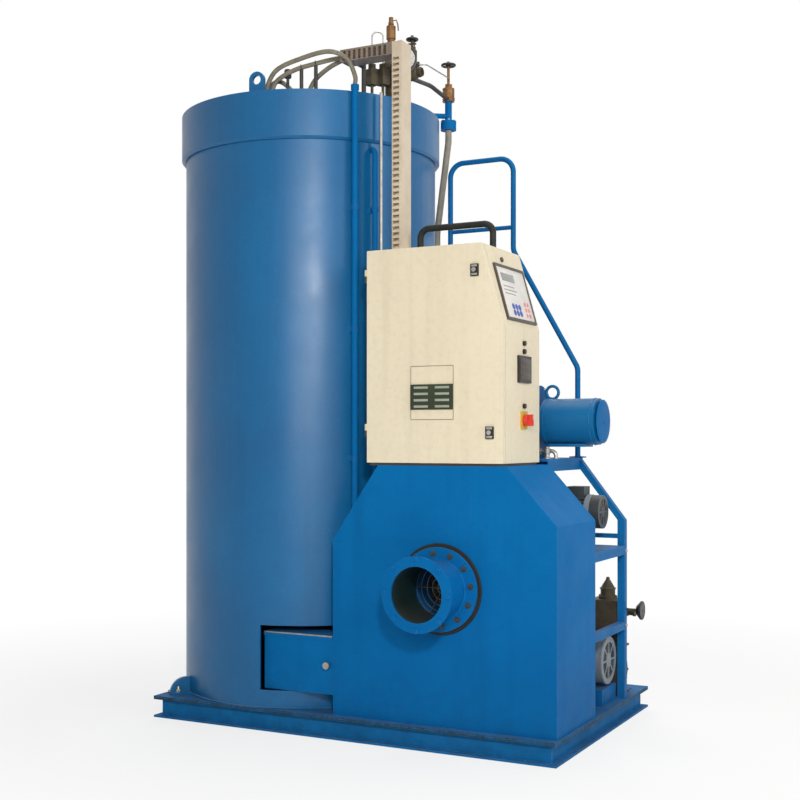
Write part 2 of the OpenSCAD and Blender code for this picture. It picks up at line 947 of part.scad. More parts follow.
// Flexible conduits: two from the level trunking down to the top plate, one up from the riser
module conduit_bundle() {
    x0 = trunk_x - trunk_l;
    z0 = trunk_z - level_h / 2;
    color("gray") {
        for (i = [0, 1]) {
            y = trunk_y + (i + 1) * trunk_d / 3;
            end = on_ring(casing_r - conduit_in - i * conduit_step, conduit_turns[i]);
            pipe_run([[x0, y, z0], [x0 - conduit_lead, y, z0], [end.x, end.y, deck_top + conduit_drop],
                      [end.x, end.y, deck_top]], conduit_r, conduit_bend);
            translate([end.x, end.y, deck_top]) cylinder(h = gland_h, r = gland_r);
        }
        rod([riser_at.x, riser_at.y, rim_z + cap_h], [riser_at.x, riser_at.y, trunk_z - level_h], conduit_r);
    }
}

module front_riser() {
    z0 = housing_z - shoulder_l_h;
    color("steelblue") translate([0, 0, z0]) difference() {
        union() {
            translate([riser_at.x, riser_at.y, 0]) cylinder(h = rim_z - z0, r = riser_r);
            translate([riser_at.x, riser_at.y, rim_z - z0]) cylinder(h = cap_h, r = cap_r);
        }
        translate([0, 0, -z0]) housing_form();
    }
}

module sensing_pipe() {
    b = on_ring(sensing_ring, sensing_turn);
    z = hood_z - sensing_drop - sensing_r;
    color("steelblue") difference() {
        pipe_run([[casing_x, casing_y, z], [b.x, b.y, z], [b.x, b.y, housing_z - shoulder_l_h]],
                 sensing_r, sensing_bend);
        on_axis() translate([0, 0, z - sensing_drop]) cylinder(h = 2 * sensing_drop, r = casing_r + seat);
        housing_form();
    }
}

module vent_line() {
    z0 = housing_z - shoulder_l_h;
    color("silver") difference() {
        translate([vent_at.x, vent_at.y, z0]) cylinder(h = rim_z - z0, r = vent_r);
        housing_form();
    }
}

// Rim, hub and spokes of a valve wheel, with its hub bored for the stem
module handwheel(r) {
    difference() {
        union() {
            rotate_extrude() translate([r - wheel_t / 2, 0]) circle(r = wheel_t / 2);
            translate([0, 0, -wheel_hub_h / 2]) cylinder(h = wheel_hub_h, r = wheel_hub_r);
            for (i = [0 : spokes - 1])
                rotate([0, 90, i * 360 / spokes]) cylinder(h = r - wheel_t / 2, r = spoke_r);
        }
        translate([0, 0, -wheel_hub_h / 2 - over])
            cylinder(h = wheel_hub_h + 2 * over, r = stem_r + run_gap);
    }
}

// Flanged outlet, angle stop valve with its open end to the right, and the stem of its wheel
module steam_outlet() {
    color("darkolivegreen") difference() {
        union() {
            translate([steam_at.x, steam_at.y, deck_top]) {
                cylinder(h = steam_z - deck_top, r = steam_r);
                cylinder(h = steam_flange_t, r = steam_flange_r);
            }
            translate([steam_at.x, steam_at.y, steam_z]) {
                sphere(r = steam_body_r);
                cylinder(h = boss_h, r = boss_r);
            }
            rod([steam_at.x, steam_at.y, steam_z], [stop_at.x, stop_at.y, steam_z], stop_r);
            translate([stop_at.x, stop_at.y, steam_z]) {
                sphere(r = stop_body_r);
                cylinder(h = bonnet_h, r = bonnet_r);
                cylinder(h = stop_wheel_z + wheel_hub_h - steam_z, r = stem_r);
                rotate([0, 90, 0]) cylinder(h = stop_out, r = stop_r);
            }
        }
        translate([stop_at.x + stop_out - stop_bore_l, stop_at.y, steam_z])
            rotate([0, 90, 0]) cylinder(h = stop_bore_l + over, r = stop_bore_r);
    }
}

module steam_handwheel() {
    color("black") translate([stop_at.x, stop_at.y, stop_wheel_z]) handwheel(stop_wheel_r);
}

module safety_valve() {
    body_z = safety_nut_h + safety_body_h;
    color("peru") translate([steam_at.x, steam_at.y, steam_z + boss_h]) {
        cylinder(h = safety_nut_h, r = safety_nut_r, $fn = 6);
        cylinder(h = body_z, r = safety_body_r);
        translate([0, 0, body_z]) cylinder(h = safety_bonnet_h, r = safety_bonnet_r);
        translate([0, 0, body_z]) cylinder(h = safety_bonnet_h + safety_cap_h, r = safety_cap_r);
    }
}

// Round gauge on a bent stem from the outlet pipe
module pressure_gauge() {
    z0 = gauge_z - gauge_r - gauge_pipe_h;
    color("black") {
        translate([gauge_at.x, gauge_at.y, gauge_z]) rotate([90, 0, gauge_turn]) difference() {
            translate([0, 0, -gauge_d / 2]) cylinder(h = gauge_d, r = gauge_r);
            translate([0, 0, gauge_d / 2 - gauge_recess])
                cylinder(h = gauge_recess + over, r = gauge_r - gauge_rim);
        }
        difference() {
            pipe_run([[steam_at.x, steam_at.y, z0], [gauge_at.x, gauge_at.y, z0],
                      [gauge_at.x, gauge_at.y, gauge_z - gauge_r + gauge_rim]], gauge_pipe_r, gauge_bend);
            translate([steam_at.x, steam_at.y, z0 - gauge_pipe_h])
                cylinder(h = 2 * gauge_pipe_h, r = steam_r + seat);
        }
    }
}

// Pipe from the top plate over the rim to the drain valve
module drain_pipe() {
    color("steelblue") {
        pipe_run([[drain_from.x, drain_from.y, deck_top], [drain_from.x, drain_from.y, drain_z],
                  [drain_at.x, drain_at.y, drain_z]], drain_stub_r, drain_bend);
        translate([drain_at.x, drain_at.y, drain_z - drain_half_h]) {
            cylinder(h = 2 * drain_half_h, r = drain_r);
            cylinder(h = drain_flange_h, r = drain_flange_r);
        }
    }
}

module drain_valve() {
    color("peru") translate([drain_at.x, drain_at.y, drain_z + drain_half_h]) {
        cylinder(h = drain_body_h, r = drain_body_r);
        cylinder(h = drain_wheel_up + wheel_hub_h, r = stem_r);
    }
}

module drain_handwheel() {
    color("black") translate([drain_at.x, drain_at.y, drain_wheel_z]) handwheel(wheel_r);
}

module drain_hose() {
    z = drain_z - drain_half_h;
    low = drain_at - hose_slant * drain_dir;
    color("gray")
        pipe_run([[drain_at.x, drain_at.y, z], [drain_at.x, drain_at.y, z - hose_lead],
                  [low.x, low.y, z - hose_lead - hose_slant_h], [low.x, low.y, deck_z]],
                 hose_out_r, hose_turn_r);
}

// Balance pipe between the stop valve and the drain valve, trimmed to both bodies
module link_pipe() {
    a = [stop_at.x, stop_at.y, steam_z - link_low];
    b = [drain_at.x, drain_at.y, steam_z - link_high];
    mid = a + link_share * (b - a) + [0, 0, link_rise];
    color("dimgray") difference() {
        pipe_run([a, mid, b], link_r, link_bend);
        translate([stop_at.x, stop_at.y, steam_z]) sphere(r = stop_body_r + seat);
        translate([drain_at.x, drain_at.y, drain_z])
            cylinder(h = drain_half_h + drain_body_h, r = drain_body_r + seat);
    }
}

// Two pressure switches on stems from the top plate
module pressure_switches() {
    color("darkolivegreen")
        for (i = [0, 1]) {
            at = on_ring(casing_r - press_ins[i], press_turns[i]);
            translate([at.x, at.y, deck_top]) rotate([0, 0, press_turns[i]]) {
                cylinder(h = press_stem_h, r = press_stem_r);
                translate([-press_w / 2, -press_d / 2, press_stem_h]) cube([press_w, press_d, press_h]);
                translate([0, 0, press_stem_h + press_h]) cylinder(h = press_cap_h, r = press_cap_r);
            }
        }
}

// Thin tube that loops from one pressure switch to the other
module siphon_loop() {
    a = on_ring(casing_r - press_ins[0], press_turns[0]);
    b = on_ring(casing_r - press_ins[1], press_turns[1]);
    z = press_z + siphon_h;
    color("silver")
        pipe_run([[a.x, a.y, press_z], [a.x, a.y, z], [b.x, b.y, z], [b.x, b.y, press_z]],
                 siphon_r, siphon_bend);
}

// Thin tube from the stop valve's bonnet to the stem of the drain valve
module capillary() {
    z = steam_z + capillary_up;
    end_z = drain_z + drain_half_h + capillary_high;
    color("silver") difference() {
        pipe_run([[stop_at.x, stop_at.y, z], [stop_at.x + bonnet_r + capillary_lead, stop_at.y, z],
                  [drain_at.x, drain_at.y, end_z]], capillary_r, capillary_bend);
        translate([stop_at.x, stop_at.y, steam_z]) cylinder(h = bonnet_h, r = bonnet_r + seat);
        translate([drain_at.x, drain_at.y, drain_z])
            cylinder(h = drain_half_h + drain_wheel_up, r = stem_r + seat);
    }
}

// Equal angle bar along +Z, heel at the origin
module angle_bar(l) {
    cube([angle_w, angle_t, l]);
    cube([angle_t, angle_w, l]);
}

// Level angle bar along X, its upright leg at the back and its other leg on top
module angle_x(x0, x1, y1, z1, h) {
    block([x0, y1 - angle_t, z1 - h], [x1, y1, z1]);
    block([x0, y1 - angle_w, z1 - angle_t], [x1, y1, z1]);
}

// Level angle bar along Y, its upright leg on the right and its other leg on top
module angle_y(y0, y1, x1, z1, h) {
    block([x1 - angle_t, y0, z1 - h], [x1, y1, z1]);
    block([x1 - angle_w, y0, z1 - angle_t], [x1, y1, z1]);
}

module frame_posts() {
    color("steelblue") {
        translate([frame_x1, frame_y, deck_z]) rotate([0, 0, 90]) angle_bar(post_h);
        translate([frame_x0, frame_y, deck_z]) angle_bar(beam_top - beam_h);
        translate([0, frame_y + angle_w, 0]) rotate([90, 0, 0]) linear_extrude(angle_w)
            polygon([[frame_x1 - angle_w, deck_z + post_h], [frame_x1, deck_z + post_h],
                     [slant_x, beam_z], [slant_x, beam_z - beam_h]]);
    }
}

module frame_rails() {
    y1 = frame_y + angle_w;
    color("steelblue") {
        angle_x(frame_x0, slant_x, y1, beam_z, beam_h);
        for (x = [platform_x0, slant_x - angle_w])
            angle_y(housing_y1, y1 - angle_t, x + angle_w, beam_z, beam_h);
        for (z = [low_rail_z, mid_rail_z])
            angle_y(housing_y1, frame_y, frame_x1, z + angle_w, angle_w);
        block([frame_x0 + angle_w, frame_y + angle_t, bar_z],
              [frame_x1 - angle_w, frame_y + angle_t + bar_w, bar_z + bar_w]);
    }
}

module platform() {
    color("steelblue") {
        block([platform_x0, housing_y1, beam_z], [slant_x, frame_y + angle_w, beam_z + shelf_t]);
        block([frame_x1 - shelf_l, housing_y1, mid_rail_z + angle_w],
              [frame_x1, frame_y, mid_rail_z + angle_w + shelf_t]);
    }
}

module bent_rail() {
    color("steelblue")
        pipe_run([[rail_foot_x, rail_y, rail_z], [rail_foot_x, rail_y, rail_z + rail_knee_h],
                  [rail_mid_x, rail_y, rail_z + rail_shoulder_h], [rail_mid_x, rail_y, rail_z + rail_h],
                  [rail_left_x, rail_y, rail_z + rail_h], [rail_left_x, rail_y, beam_z]], rail_r, rail_bend);
}

module rail_rung() {
    color("steelblue") difference() {
        rod([rail_left_x, rail_y, rail_z + rung_h], [rail_mid_x, rail_y, rail_z + rung_h], rung_r);
        for (x = [rail_left_x, rail_mid_x])
            translate([x, rail_y, rail_z + rung_h - rail_bend])
                cylinder(h = 2 * rail_bend, r = rail_r + seat);
    }
}

// Blower drum with its two side plates, the open eye on the left and a saddle foot on the platform
module blower_drum() {
    w = blower_r * blower_foot_share;
    color("steelblue") {
        translate([blower_x1, blower_y, blower_z]) rotate([0, -90, 0]) difference() {
            union() {
                cylinder(h = blower_l, r = blower_r - blower_plate_t);
                for (z = [0, blower_l - blower_plate_t])
                    translate([0, 0, z]) cylinder(h = blower_plate_t, r = blower_r);
                cylinder(h = blower_l + blower_eye_l, r = blower_eye_r + blower_eye_t);
            }
            translate([0, 0, blower_l + blower_eye_l - blower_eye_d])
                cylinder(h = blower_eye_d + over, r = blower_eye_r);
        }
        block([blower_x1 - blower_l, blower_y - w, rail_z],
              [blower_x1 - blower_plate_t, blower_y + w, blower_z - blower_r / 2 - blower_plate_t]);
    }
}

// Drip-proof motor with a domed end, a lifting eye and a cable box on its far side
module fan_motor() {
    dome_l = (pow(fan_motor_r, 2) + pow(fan_dome_h, 2)) / (2 * fan_dome_h);
    color("steelblue") translate([blower_x1, blower_y, blower_z]) {
        rotate([0, 90, 0]) {
            cylinder(h = fan_neck_l, r = fan_motor_r * fan_neck_share);
            translate([0, 0, fan_neck_l]) intersection() {
                cylinder(h = fan_motor_l, r = fan_motor_r);
                translate([0, 0, fan_motor_l - dome_l]) sphere(r = dome_l);
            }
        }
        translate([fan_neck_l + eye_in, 0, fan_motor_r + eye_ring_r]) rotate([90, 0, 0])
            rotate_extrude() translate([eye_ring_r, 0]) circle(r = eye_wire_r);
        translate([fan_neck_l + fan_motor_l / 2 - fan_box_l / 2, 0, -fan_box_w / 2])
            cube([fan_box_l, fan_motor_r + fan_box_out, fan_box_w]);
    }
}

// Outline of a finned motor body
module fin_outline(r) {
    circle(r = r * core_share);
    for (i = [0 : fins - 1])
        rotate(i * 360 / fins) translate([0, -fin_t / 2]) square([r, fin_t]);
}

// Fan cowl with a barred grille in its end
module motor_cowl(r, l) {
    difference() {
        cylinder(h = l, r = r);
        translate([0, 0, l - grille_d]) difference() {
            cylinder(h = grille_d + over, r = r * grille_share);
            translate([0, 0, -over]) cylinder(h = grille_d + 3 * over, r = r * grille_hub_share);
            for (i = [0 : grille_bars - 1])
                rotate([0, 0, i * 360 / grille_bars]) translate([0, -grille_bar_w / 2, -over])
                    cube([r, grille_bar_w, grille_d + 3 * over]);
        }
    }
}

// Level finned motor along X with its shaft to the left, fan cowl to the right and a foot
module foot_motor(x1, y, z, r, l, z0, top_box) {
    foot_x0 = x1 - l + l * (1 - foot_share);
    foot_x1 = x1 - l * cowl_share;
    translate([x1 - l, y, z]) rotate([0, 90, 0]) {
        translate([0, 0, -motor_shaft_l]) cylinder(h = l, r = motor_shaft_r);
        linear_extrude(l * (1 - cowl_share)) fin_outline(r);
        cylinder(h = fin_t, r = r);
        translate([0, 0, l * (1 - cowl_share)]) motor_cowl(r, l * cowl_share);
    }
    block([foot_x0, y - r / 2, z0], [foot_x1, y + r / 2, z - r / 2]);
    block([foot_x0, y - r * foot_share, z0], [foot_x1, y + r * foot_share, z0 + motor_pad_t]);
    if (top_box)
        translate([x1 - l / 2 - box_w / 2, y - box_w / 2, z]) cube([box_w, box_w, r + box_h]);
}

module pump_bed() {
    x1 = frame_x1 - angle_w - motor_in;
    color("steelblue")
        block([x1 - pump_motor_l, motor_y - bed_w / 2, deck_z],
              [x1, motor_y + bed_w / 2, deck_z + bed_h]);
}

module pump_motor() {
    color("gray")
        foot_motor(frame_x1 - angle_w - motor_in, motor_y, pump_motor_z, pump_motor_r, pump_motor_l,
                   deck_z + bed_h, false);
}

module upper_motor() {
    color("dimgray")
        foot_motor(frame_x1 - angle_w - upper_in, motor_y, upper_motor_z, upper_motor_r, upper_motor_l,
                   mid_rail_z + angle_w + shelf_t, true);
}

// Upright pump behind the frame, with an air dome and a regulating stem to the right
module feed_pump() {
    x1 = frame_x1 - angle_w - pump_in;
    top = deck_z + pump_h;
    dome = [x1 - pump_w / 2, pump_y + pump_d / 2, top];
    color("sienna") {
        block([x1 - pump_w - case_out - pump_lip, pump_y - pump_lip, deck_z],
              [x1 + pump_lip, pump_y + pump_d + pump_lip, deck_z + pump_lip]);
        block([x1 - pump_w - case_out, pump_y, deck_z], [x1, pump_y + pump_d, deck_z + case_h]);
        block([x1 - pump_w - case_out - pump_lip, pump_y - pump_lip, deck_z + case_h],
              [x1 + pump_lip, pump_y + pump_d + pump_lip, deck_z + case_h + pump_lip]);
        block([x1 - pump_w, pump_y, deck_z + case_h], [x1, pump_y + pump_d, top]);
        translate([x1, pump_y + pump_d / 2, deck_z + case_h / 2]) rotate([0, 90, 0])
            cylinder(h = cover_t, r = cover_r);
        translate(dome) {
            cylinder(h = collar_h, r = dome_r + collar_out);
            cylinder(h = dome_h, r = dome_r);
            translate([0, 0, dome_h]) cylinder(h = cone_h, r1 = dome_r, r2 = cone_r);
        }
        rod([x1, pump_stem_y, pump_stem_z],
            [frame_x1 + pump_wheel_out + stem_end, pump_stem_y, pump_stem_z], stem_r);
    }
}

module pump_handwheel() {
    color("black") translate([frame_x1 + pump_wheel_out, pump_stem_y, pump_stem_z]) rotate([0, 90, 0])
        handwheel(pump_wheel_r);
}

skid_long_channels();
skid_side_channels();
skid_cross_beams();
deck_plate();
casing_shell();
casing_base();
casing_top();
casing_hood();
flue_collar();
lifting_lugs();
hold_down_feet();
burner_housing();
air_duct();
inlet_spool();
cabinet_plinth();
cabinet_body();
mounting_plate();
cabinet_hinges();
cabinet_door();
door_latches();
vent_plate();
door_vent();
display_panel();
side_instruments();
switch_plate();
switch_handle();
upright_trunking();
level_trunking();
trunking_posts();
cabinet_hose();
conduit_bundle();
front_riser();
sensing_pipe();
vent_line();
steam_outlet();
steam_handwheel();
safety_valve();
pressure_gauge();
pressure_switches();
siphon_loop();
capillary();
drain_pipe();
drain_valve();
drain_handwheel();
drain_hose();
link_pipe();
frame_posts();
frame_rails();
platform();
bent_rail();
rail_rung();
blower_drum();
fan_motor();
pump_bed();
pump_motor();
feed_pump();
pump_handwheel();
upper_motor();
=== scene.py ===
import json
import math

import bmesh
import bpy
from mathutils import Matrix, Vector

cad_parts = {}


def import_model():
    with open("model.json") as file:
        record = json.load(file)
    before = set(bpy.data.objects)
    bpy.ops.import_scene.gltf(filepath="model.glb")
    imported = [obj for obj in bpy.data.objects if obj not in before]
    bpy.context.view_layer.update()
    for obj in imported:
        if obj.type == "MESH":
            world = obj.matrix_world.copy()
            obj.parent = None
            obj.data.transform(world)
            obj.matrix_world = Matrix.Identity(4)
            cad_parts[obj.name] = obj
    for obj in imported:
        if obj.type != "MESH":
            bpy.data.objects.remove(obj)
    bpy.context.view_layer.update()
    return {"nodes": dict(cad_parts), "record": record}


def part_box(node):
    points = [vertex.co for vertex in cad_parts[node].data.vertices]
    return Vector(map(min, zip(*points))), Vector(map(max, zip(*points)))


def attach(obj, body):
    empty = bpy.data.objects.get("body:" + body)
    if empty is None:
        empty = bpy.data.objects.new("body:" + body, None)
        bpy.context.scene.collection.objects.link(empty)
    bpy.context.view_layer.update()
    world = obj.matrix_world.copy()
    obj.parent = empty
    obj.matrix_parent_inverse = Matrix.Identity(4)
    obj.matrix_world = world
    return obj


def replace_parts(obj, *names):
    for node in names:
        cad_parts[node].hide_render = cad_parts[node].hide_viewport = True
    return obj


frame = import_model()
NODES = frame["nodes"]
UP, FRONT, RIGHT, LEFT = (0, 0, 1), (0, -1, 0), (1, 0, 0), (-1, 0, 0)


# Materials

MAT = {}


def srgb(r, g, b):
    """A colour given as seen, 0 to 255, in linear light."""
    def lin(v):
        v /= 255
        return v / 12.92 if v < 0.04045 else ((v + 0.055) / 1.055) ** 2.4
    return (lin(r), lin(g), lin(b), 1)


class Graph:
    """One material's node tree with short ways to add nodes."""

    def __init__(self, name):
        self.name = name
        self.mat = bpy.data.materials.new(name)
        self.mat.use_nodes = True
        self.tree = self.mat.node_tree
        self.tree.nodes.clear()
        self.out = self.tree.nodes.new("ShaderNodeOutputMaterial")
        self.bsdf = self.tree.nodes.new("ShaderNodeBsdfPrincipled")
        self.tree.links.new(self.bsdf.outputs[0], self.out.inputs[0])
        self.coord = self.tree.nodes.new("ShaderNodeTexCoord").outputs["Object"]
        self.geo = self.tree.nodes.new("ShaderNodeNewGeometry")

    def add(self, kind, links=(), **values):
        """A node with its properties or sockets set and its inputs linked."""
        n = self.tree.nodes.new(kind)
        for k, v in values.items():
            if hasattr(n, k):
                setattr(n, k, v)
            else:
                n.inputs[k.replace("_", " ")].default_value = v
        for key, s in dict(links).items():
            self.tree.links.new(s, n.inputs[key])
        return n

    def stretch(self, x, y, z):
        """Object coordinates scaled along each axis."""
        n = self.add("ShaderNodeMapping", {"Vector": self.coord})
        n.inputs["Scale"].default_value = (x, y, z)
        return n.outputs[0]

    def noise(self, scale, detail=4, rough=0.55, at=None):
        """Noise from 0 to 1 over the object."""
        n = self.add("ShaderNodeTexNoise", {"Vector": at or self.coord})
        n.inputs["Scale"].default_value = scale
        n.inputs["Detail"].default_value = detail
        n.inputs["Roughness"].default_value = rough
        return n.outputs["Fac"]

    def span(self, s, a, b, lo=0, hi=1):
        """A value whose range a to b becomes lo to hi."""
        n = self.add("ShaderNodeMapRange", {"Value": s})
        n.inputs["From Min"].default_value = a
        n.inputs["From Max"].default_value = b
        n.inputs["To Min"].default_value = lo
        n.inputs["To Max"].default_value = hi
        return n.outputs[0]

    def math(self, op, a, b):
        """Two sockets or numbers joined by an operation."""
        n = self.add("ShaderNodeMath", operation=op)
        for i, v in enumerate((a, b)):
            if isinstance(v, (int, float)):
                n.inputs[i].default_value = v
            else:
                self.tree.links.new(v, n.inputs[i])
        return n.outputs[0]

    def mix(self, fac, a, b):
        """Colour a turning into colour b as fac goes from 0 to 1."""
        n = self.add("ShaderNodeMix", data_type="RGBA")
        for key, v in ((0, fac), (6, a), (7, b)):
            if hasattr(v, "is_linked"):
                self.tree.links.new(v, n.inputs[key])
            else:
                n.inputs[key].default_value = v
        return n.outputs[2]

    def up(self):
        """How far the surface faces up."""
        n = self.add("ShaderNodeSeparateXYZ", {0: self.geo.outputs["Normal"]})
        return n.outputs[2]

    def height(self):
        """Height above the floor in metres."""
        n = self.add("ShaderNodeSeparateXYZ", {0: self.coord})
        return n.outputs[2]

    def edges(self, radius):
        """Bright along sharp edges."""
        b = self.add("ShaderNodeBevel", samples=4)
        b.inputs["Radius"].default_value = radius
        d = self.add("ShaderNodeVectorMath", {0: b.outputs[0], 1: self.geo.outputs["Normal"]},
                     operation="DOT_PRODUCT")
        return self.span(d.outputs["Value"], 0.99, 0.8)

    def finish(self, colour, rough, heights, metal=0.0, specular=0.5):
        """Links colour and roughness, stacks bumps given as (height, strength, distance), and keeps the
        material in MAT."""
        self.tree.links.new(colour, self.bsdf.inputs["Base Color"])
        self.tree.links.new(rough, self.bsdf.inputs["Roughness"])
        self.bsdf.inputs["Metallic"].default_value = metal
        self.bsdf.inputs["Specular IOR Level"].default_value = specular
        normal = None
        for height, strength, distance in heights:
            n = self.add("ShaderNodeBump", {"Height": height})
            n.inputs["Strength"].default_value = strength
            n.inputs["Distance"].default_value = distance
            if normal:
                self.tree.links.new(normal, n.inputs["Normal"])
            normal = n.outputs[0]
        if normal:
            self.tree.links.new(normal, self.bsdf.inputs["Normal"])
        MAT[self.name] = self.mat


def scaled(colour, k, add=0.0):
    """A colour made darker or lighter, with some grey added."""
    return tuple(min(1, k * c + add) for c in colour[:3]) + (1,)


DUST = srgb(176, 170, 158)
PLASTIC_DUST = srgb(180, 172, 158)
BARE_STEEL = srgb(120, 112, 104)
RUST = srgb(104, 64, 38)
PAINTED_SHADOW_UNDER_LIP = srgb(44, 52, 46)
# Heights at which floor grime begins and is full, and at which the skid's painted top-edge shadow does
GRIME_FROM, GRIME_FULL = 0.34, 0.02
LIP_FROM, LIP_FULL = 0.064, 0.068


def paint(name, base, shade, rough=(0.32, 0.46), wear=0.5, dust=0.16, wave=0.0015, peel=0.00004,
          specular=0.04, grime=0.35, speck=0.16, lip=0.0):
    """Machine enamel: broad tone drift, specks, faint runs, grime near the floor, dust on top faces, rubbed
    and chipped edges, orange peel, and, where lip is set, a painted shadow along the skid's top edge."""
    g = Graph(name)
    colour = g.mix(g.span(g.noise(1.7, 5, 0.6), 0.34, 0.68), base, shade)
    colour = g.mix(g.span(g.noise(46, 5, 0.65), 0.48, 0.72, 0, 0.2), colour, scaled(base, 0.62))
    colour = g.mix(g.span(g.noise(210, 3, 0.6), 0.62, 0.74, 0, speck), colour, scaled(base, 1.5, 0.05))
    runs = g.noise(13, 4, 0.6, g.stretch(1, 1, 0.05))
    colour = g.mix(g.span(runs, 0.52, 0.74, 0, 0.2), colour, scaled(shade, 0.6))
    low = g.span(g.height(), GRIME_FROM, GRIME_FULL)
    low = g.math("MULTIPLY", low, g.span(g.noise(17, 6, 0.7), 0.36, 0.66))
    colour = g.mix(g.math("MULTIPLY", low, grime), colour, scaled(shade, 0.35, 0.008))
    lying = g.math("MULTIPLY", g.span(g.up(), 0.45, 1), g.span(g.noise(9, 6, 0.7), 0.3, 0.7, 0.3, 1))
    colour = g.mix(g.math("MULTIPLY", lying, dust), colour, DUST)
    # Painted shadow: a dark band on side faces near the skid's top edge, for the shade under its flange
    if lip:
        shadow_band = g.math("MULTIPLY", g.span(g.height(), LIP_FROM, LIP_FULL), g.span(g.up(), 0.6, 0.4))
        shadow_band = g.math("MULTIPLY", shadow_band, g.span(g.noise(11, 5, 0.7), 0.3, 0.6, 0.55, 1))
        colour = g.mix(g.math("MULTIPLY", shadow_band, lip), colour, PAINTED_SHADOW_UNDER_LIP)
    rub = g.math("MULTIPLY", g.edges(0.004), g.span(g.noise(70, 5, 0.7), 0.42, 0.62))
    colour = g.mix(g.math("MULTIPLY", rub, wear), colour, scaled(base, 1.5, 0.05))
    chips = g.math("MULTIPLY", g.edges(0.0025), g.span(g.noise(150, 4, 0.75), 0.6, 0.66))
    colour = g.mix(g.math("MULTIPLY", chips, wear), colour, BARE_STEEL)
    r = g.span(g.noise(6, 5, 0.6), 0.3, 0.7, *rough)
    r = g.math("ADD", r, g.math("MULTIPLY", lying, 0.15))
    g.finish(colour, r, [(g.noise(3.4, 2, 0.4), 0.35, wave), (g.noise(420, 2, 0.5), 0.5, peel)],
             specular=specular)


def plastic(name, base, shade, rough=(0.35, 0.5), grain=0.00003, dust=0.12, specular=0.35):
    """Moulded plastic: fine grain, faint scuffs and dust."""
    g = Graph(name)
    colour = g.mix(g.span(g.noise(12, 5, 0.6), 0.35, 0.68), base, shade)
    scuff = g.span(g.noise(60, 4, 0.6, g.stretch(1, 0.2, 0.4)), 0.6, 0.75)
    colour = g.mix(g.math("MULTIPLY", scuff, 0.15), colour, scaled(base, 1, 0.06))
    lying = g.math("MULTIPLY", g.span(g.up(), 0.5, 1), g.noise(20, 5, 0.7))
    colour = g.mix(g.math("MULTIPLY", lying, dust), colour, PLASTIC_DUST)
    r = g.span(g.noise(30, 4, 0.6), 0.3, 0.7, *rough)
    g.finish(colour, r, [(g.noise(600, 2, 0.5), 0.5, grain)], specular=specular)


def metal(name, base, shade, rough=(0.3, 0.5), dull=0.35):
    """Bare or plated metal: cloudy tone, dull film and tooling grain."""
    g = Graph(name)
    colour = g.mix(g.span(g.noise(18, 5, 0.65), 0.32, 0.7), base, shade)
    film = g.span(g.noise(45, 5, 0.7), 0.45, 0.7, 0, dull)
    colour = g.mix(film, colour, scaled(shade, 0.45))
    r = g.math("ADD", g.span(g.noise(26, 4, 0.6), 0.3, 0.7, *rough), g.math("MULTIPLY", film, 0.4))
    g.finish(colour, r, [(g.noise(240, 3, 0.6), 0.6, 0.00005)], metal=0.9)


def cast(name, base, shade):
    """Painted or raw casting: sand-cast skin, rust bloom and rubbed edges."""
    g = Graph(name)
    colour = g.mix(g.span(g.noise(24, 5, 0.65), 0.32, 0.7), base, shade)
    colour = g.mix(g.span(g.noise(33, 6, 0.7), 0.54, 0.72, 0, 0.25), colour, RUST)
    colour = g.mix(g.math("MULTIPLY", g.edges(0.003), 0.4), colour, scaled(base, 1.4, 0.06))
    r = g.span(g.noise(40, 4, 0.6), 0.3, 0.7, 0.45, 0.75)
    g.finish(colour, r, [(g.noise(300, 4, 0.6), 0.7, 0.0004)], metal=0.15, specular=0.3)


def rubber(name, base, shade):
    """Rubber or sleeved pipe: chalky bloom and a fine grain."""
    g = Graph(name)
    colour = g.mix(g.span(g.noise(25, 5, 0.6), 0.35, 0.68), base, shade)
    colour = g.mix(g.span(g.noise(90, 4, 0.7), 0.58, 0.75, 0, 0.25), colour, scaled(base, 1.1, 0.06))
    r = g.span(g.noise(35, 4, 0.6), 0.3, 0.7, 0.5, 0.72)
    g.finish(colour, r, [(g.noise(500, 2, 0.5), 0.5, 0.00005)], specular=0.25)


def glass(name, tint):
    """Thin clear cover with faint smears."""
    g = Graph(name)
    colour = g.mix(g.span(g.noise(30, 4, 0.6), 0.4, 0.7, 0, 0.3), tint, scaled(tint, 0.9))
    g.bsdf.inputs["Alpha"].default_value = 0.14
    g.finish(colour, g.span(g.noise(22, 4), 0.3, 0.7, 0.04, 0.16), [])


# The skid's lip value paints a dark shadow band along its top edge
paint("skid_paint", srgb(26, 112, 172), srgb(20, 98, 154), (0.45, 0.6), wear=0.7, dust=0.12, grime=0.45,
      lip=0.85)
paint("casing_paint", srgb(3, 99, 152), srgb(2, 87, 138), (0.31, 0.4), wear=0.4, dust=0.2, wave=0.004,
      specular=0.4, speck=0.4)
paint("housing_paint", srgb(10, 108, 172), srgb(6, 95, 156), (0.42, 0.55), wear=0.45, dust=0.06)
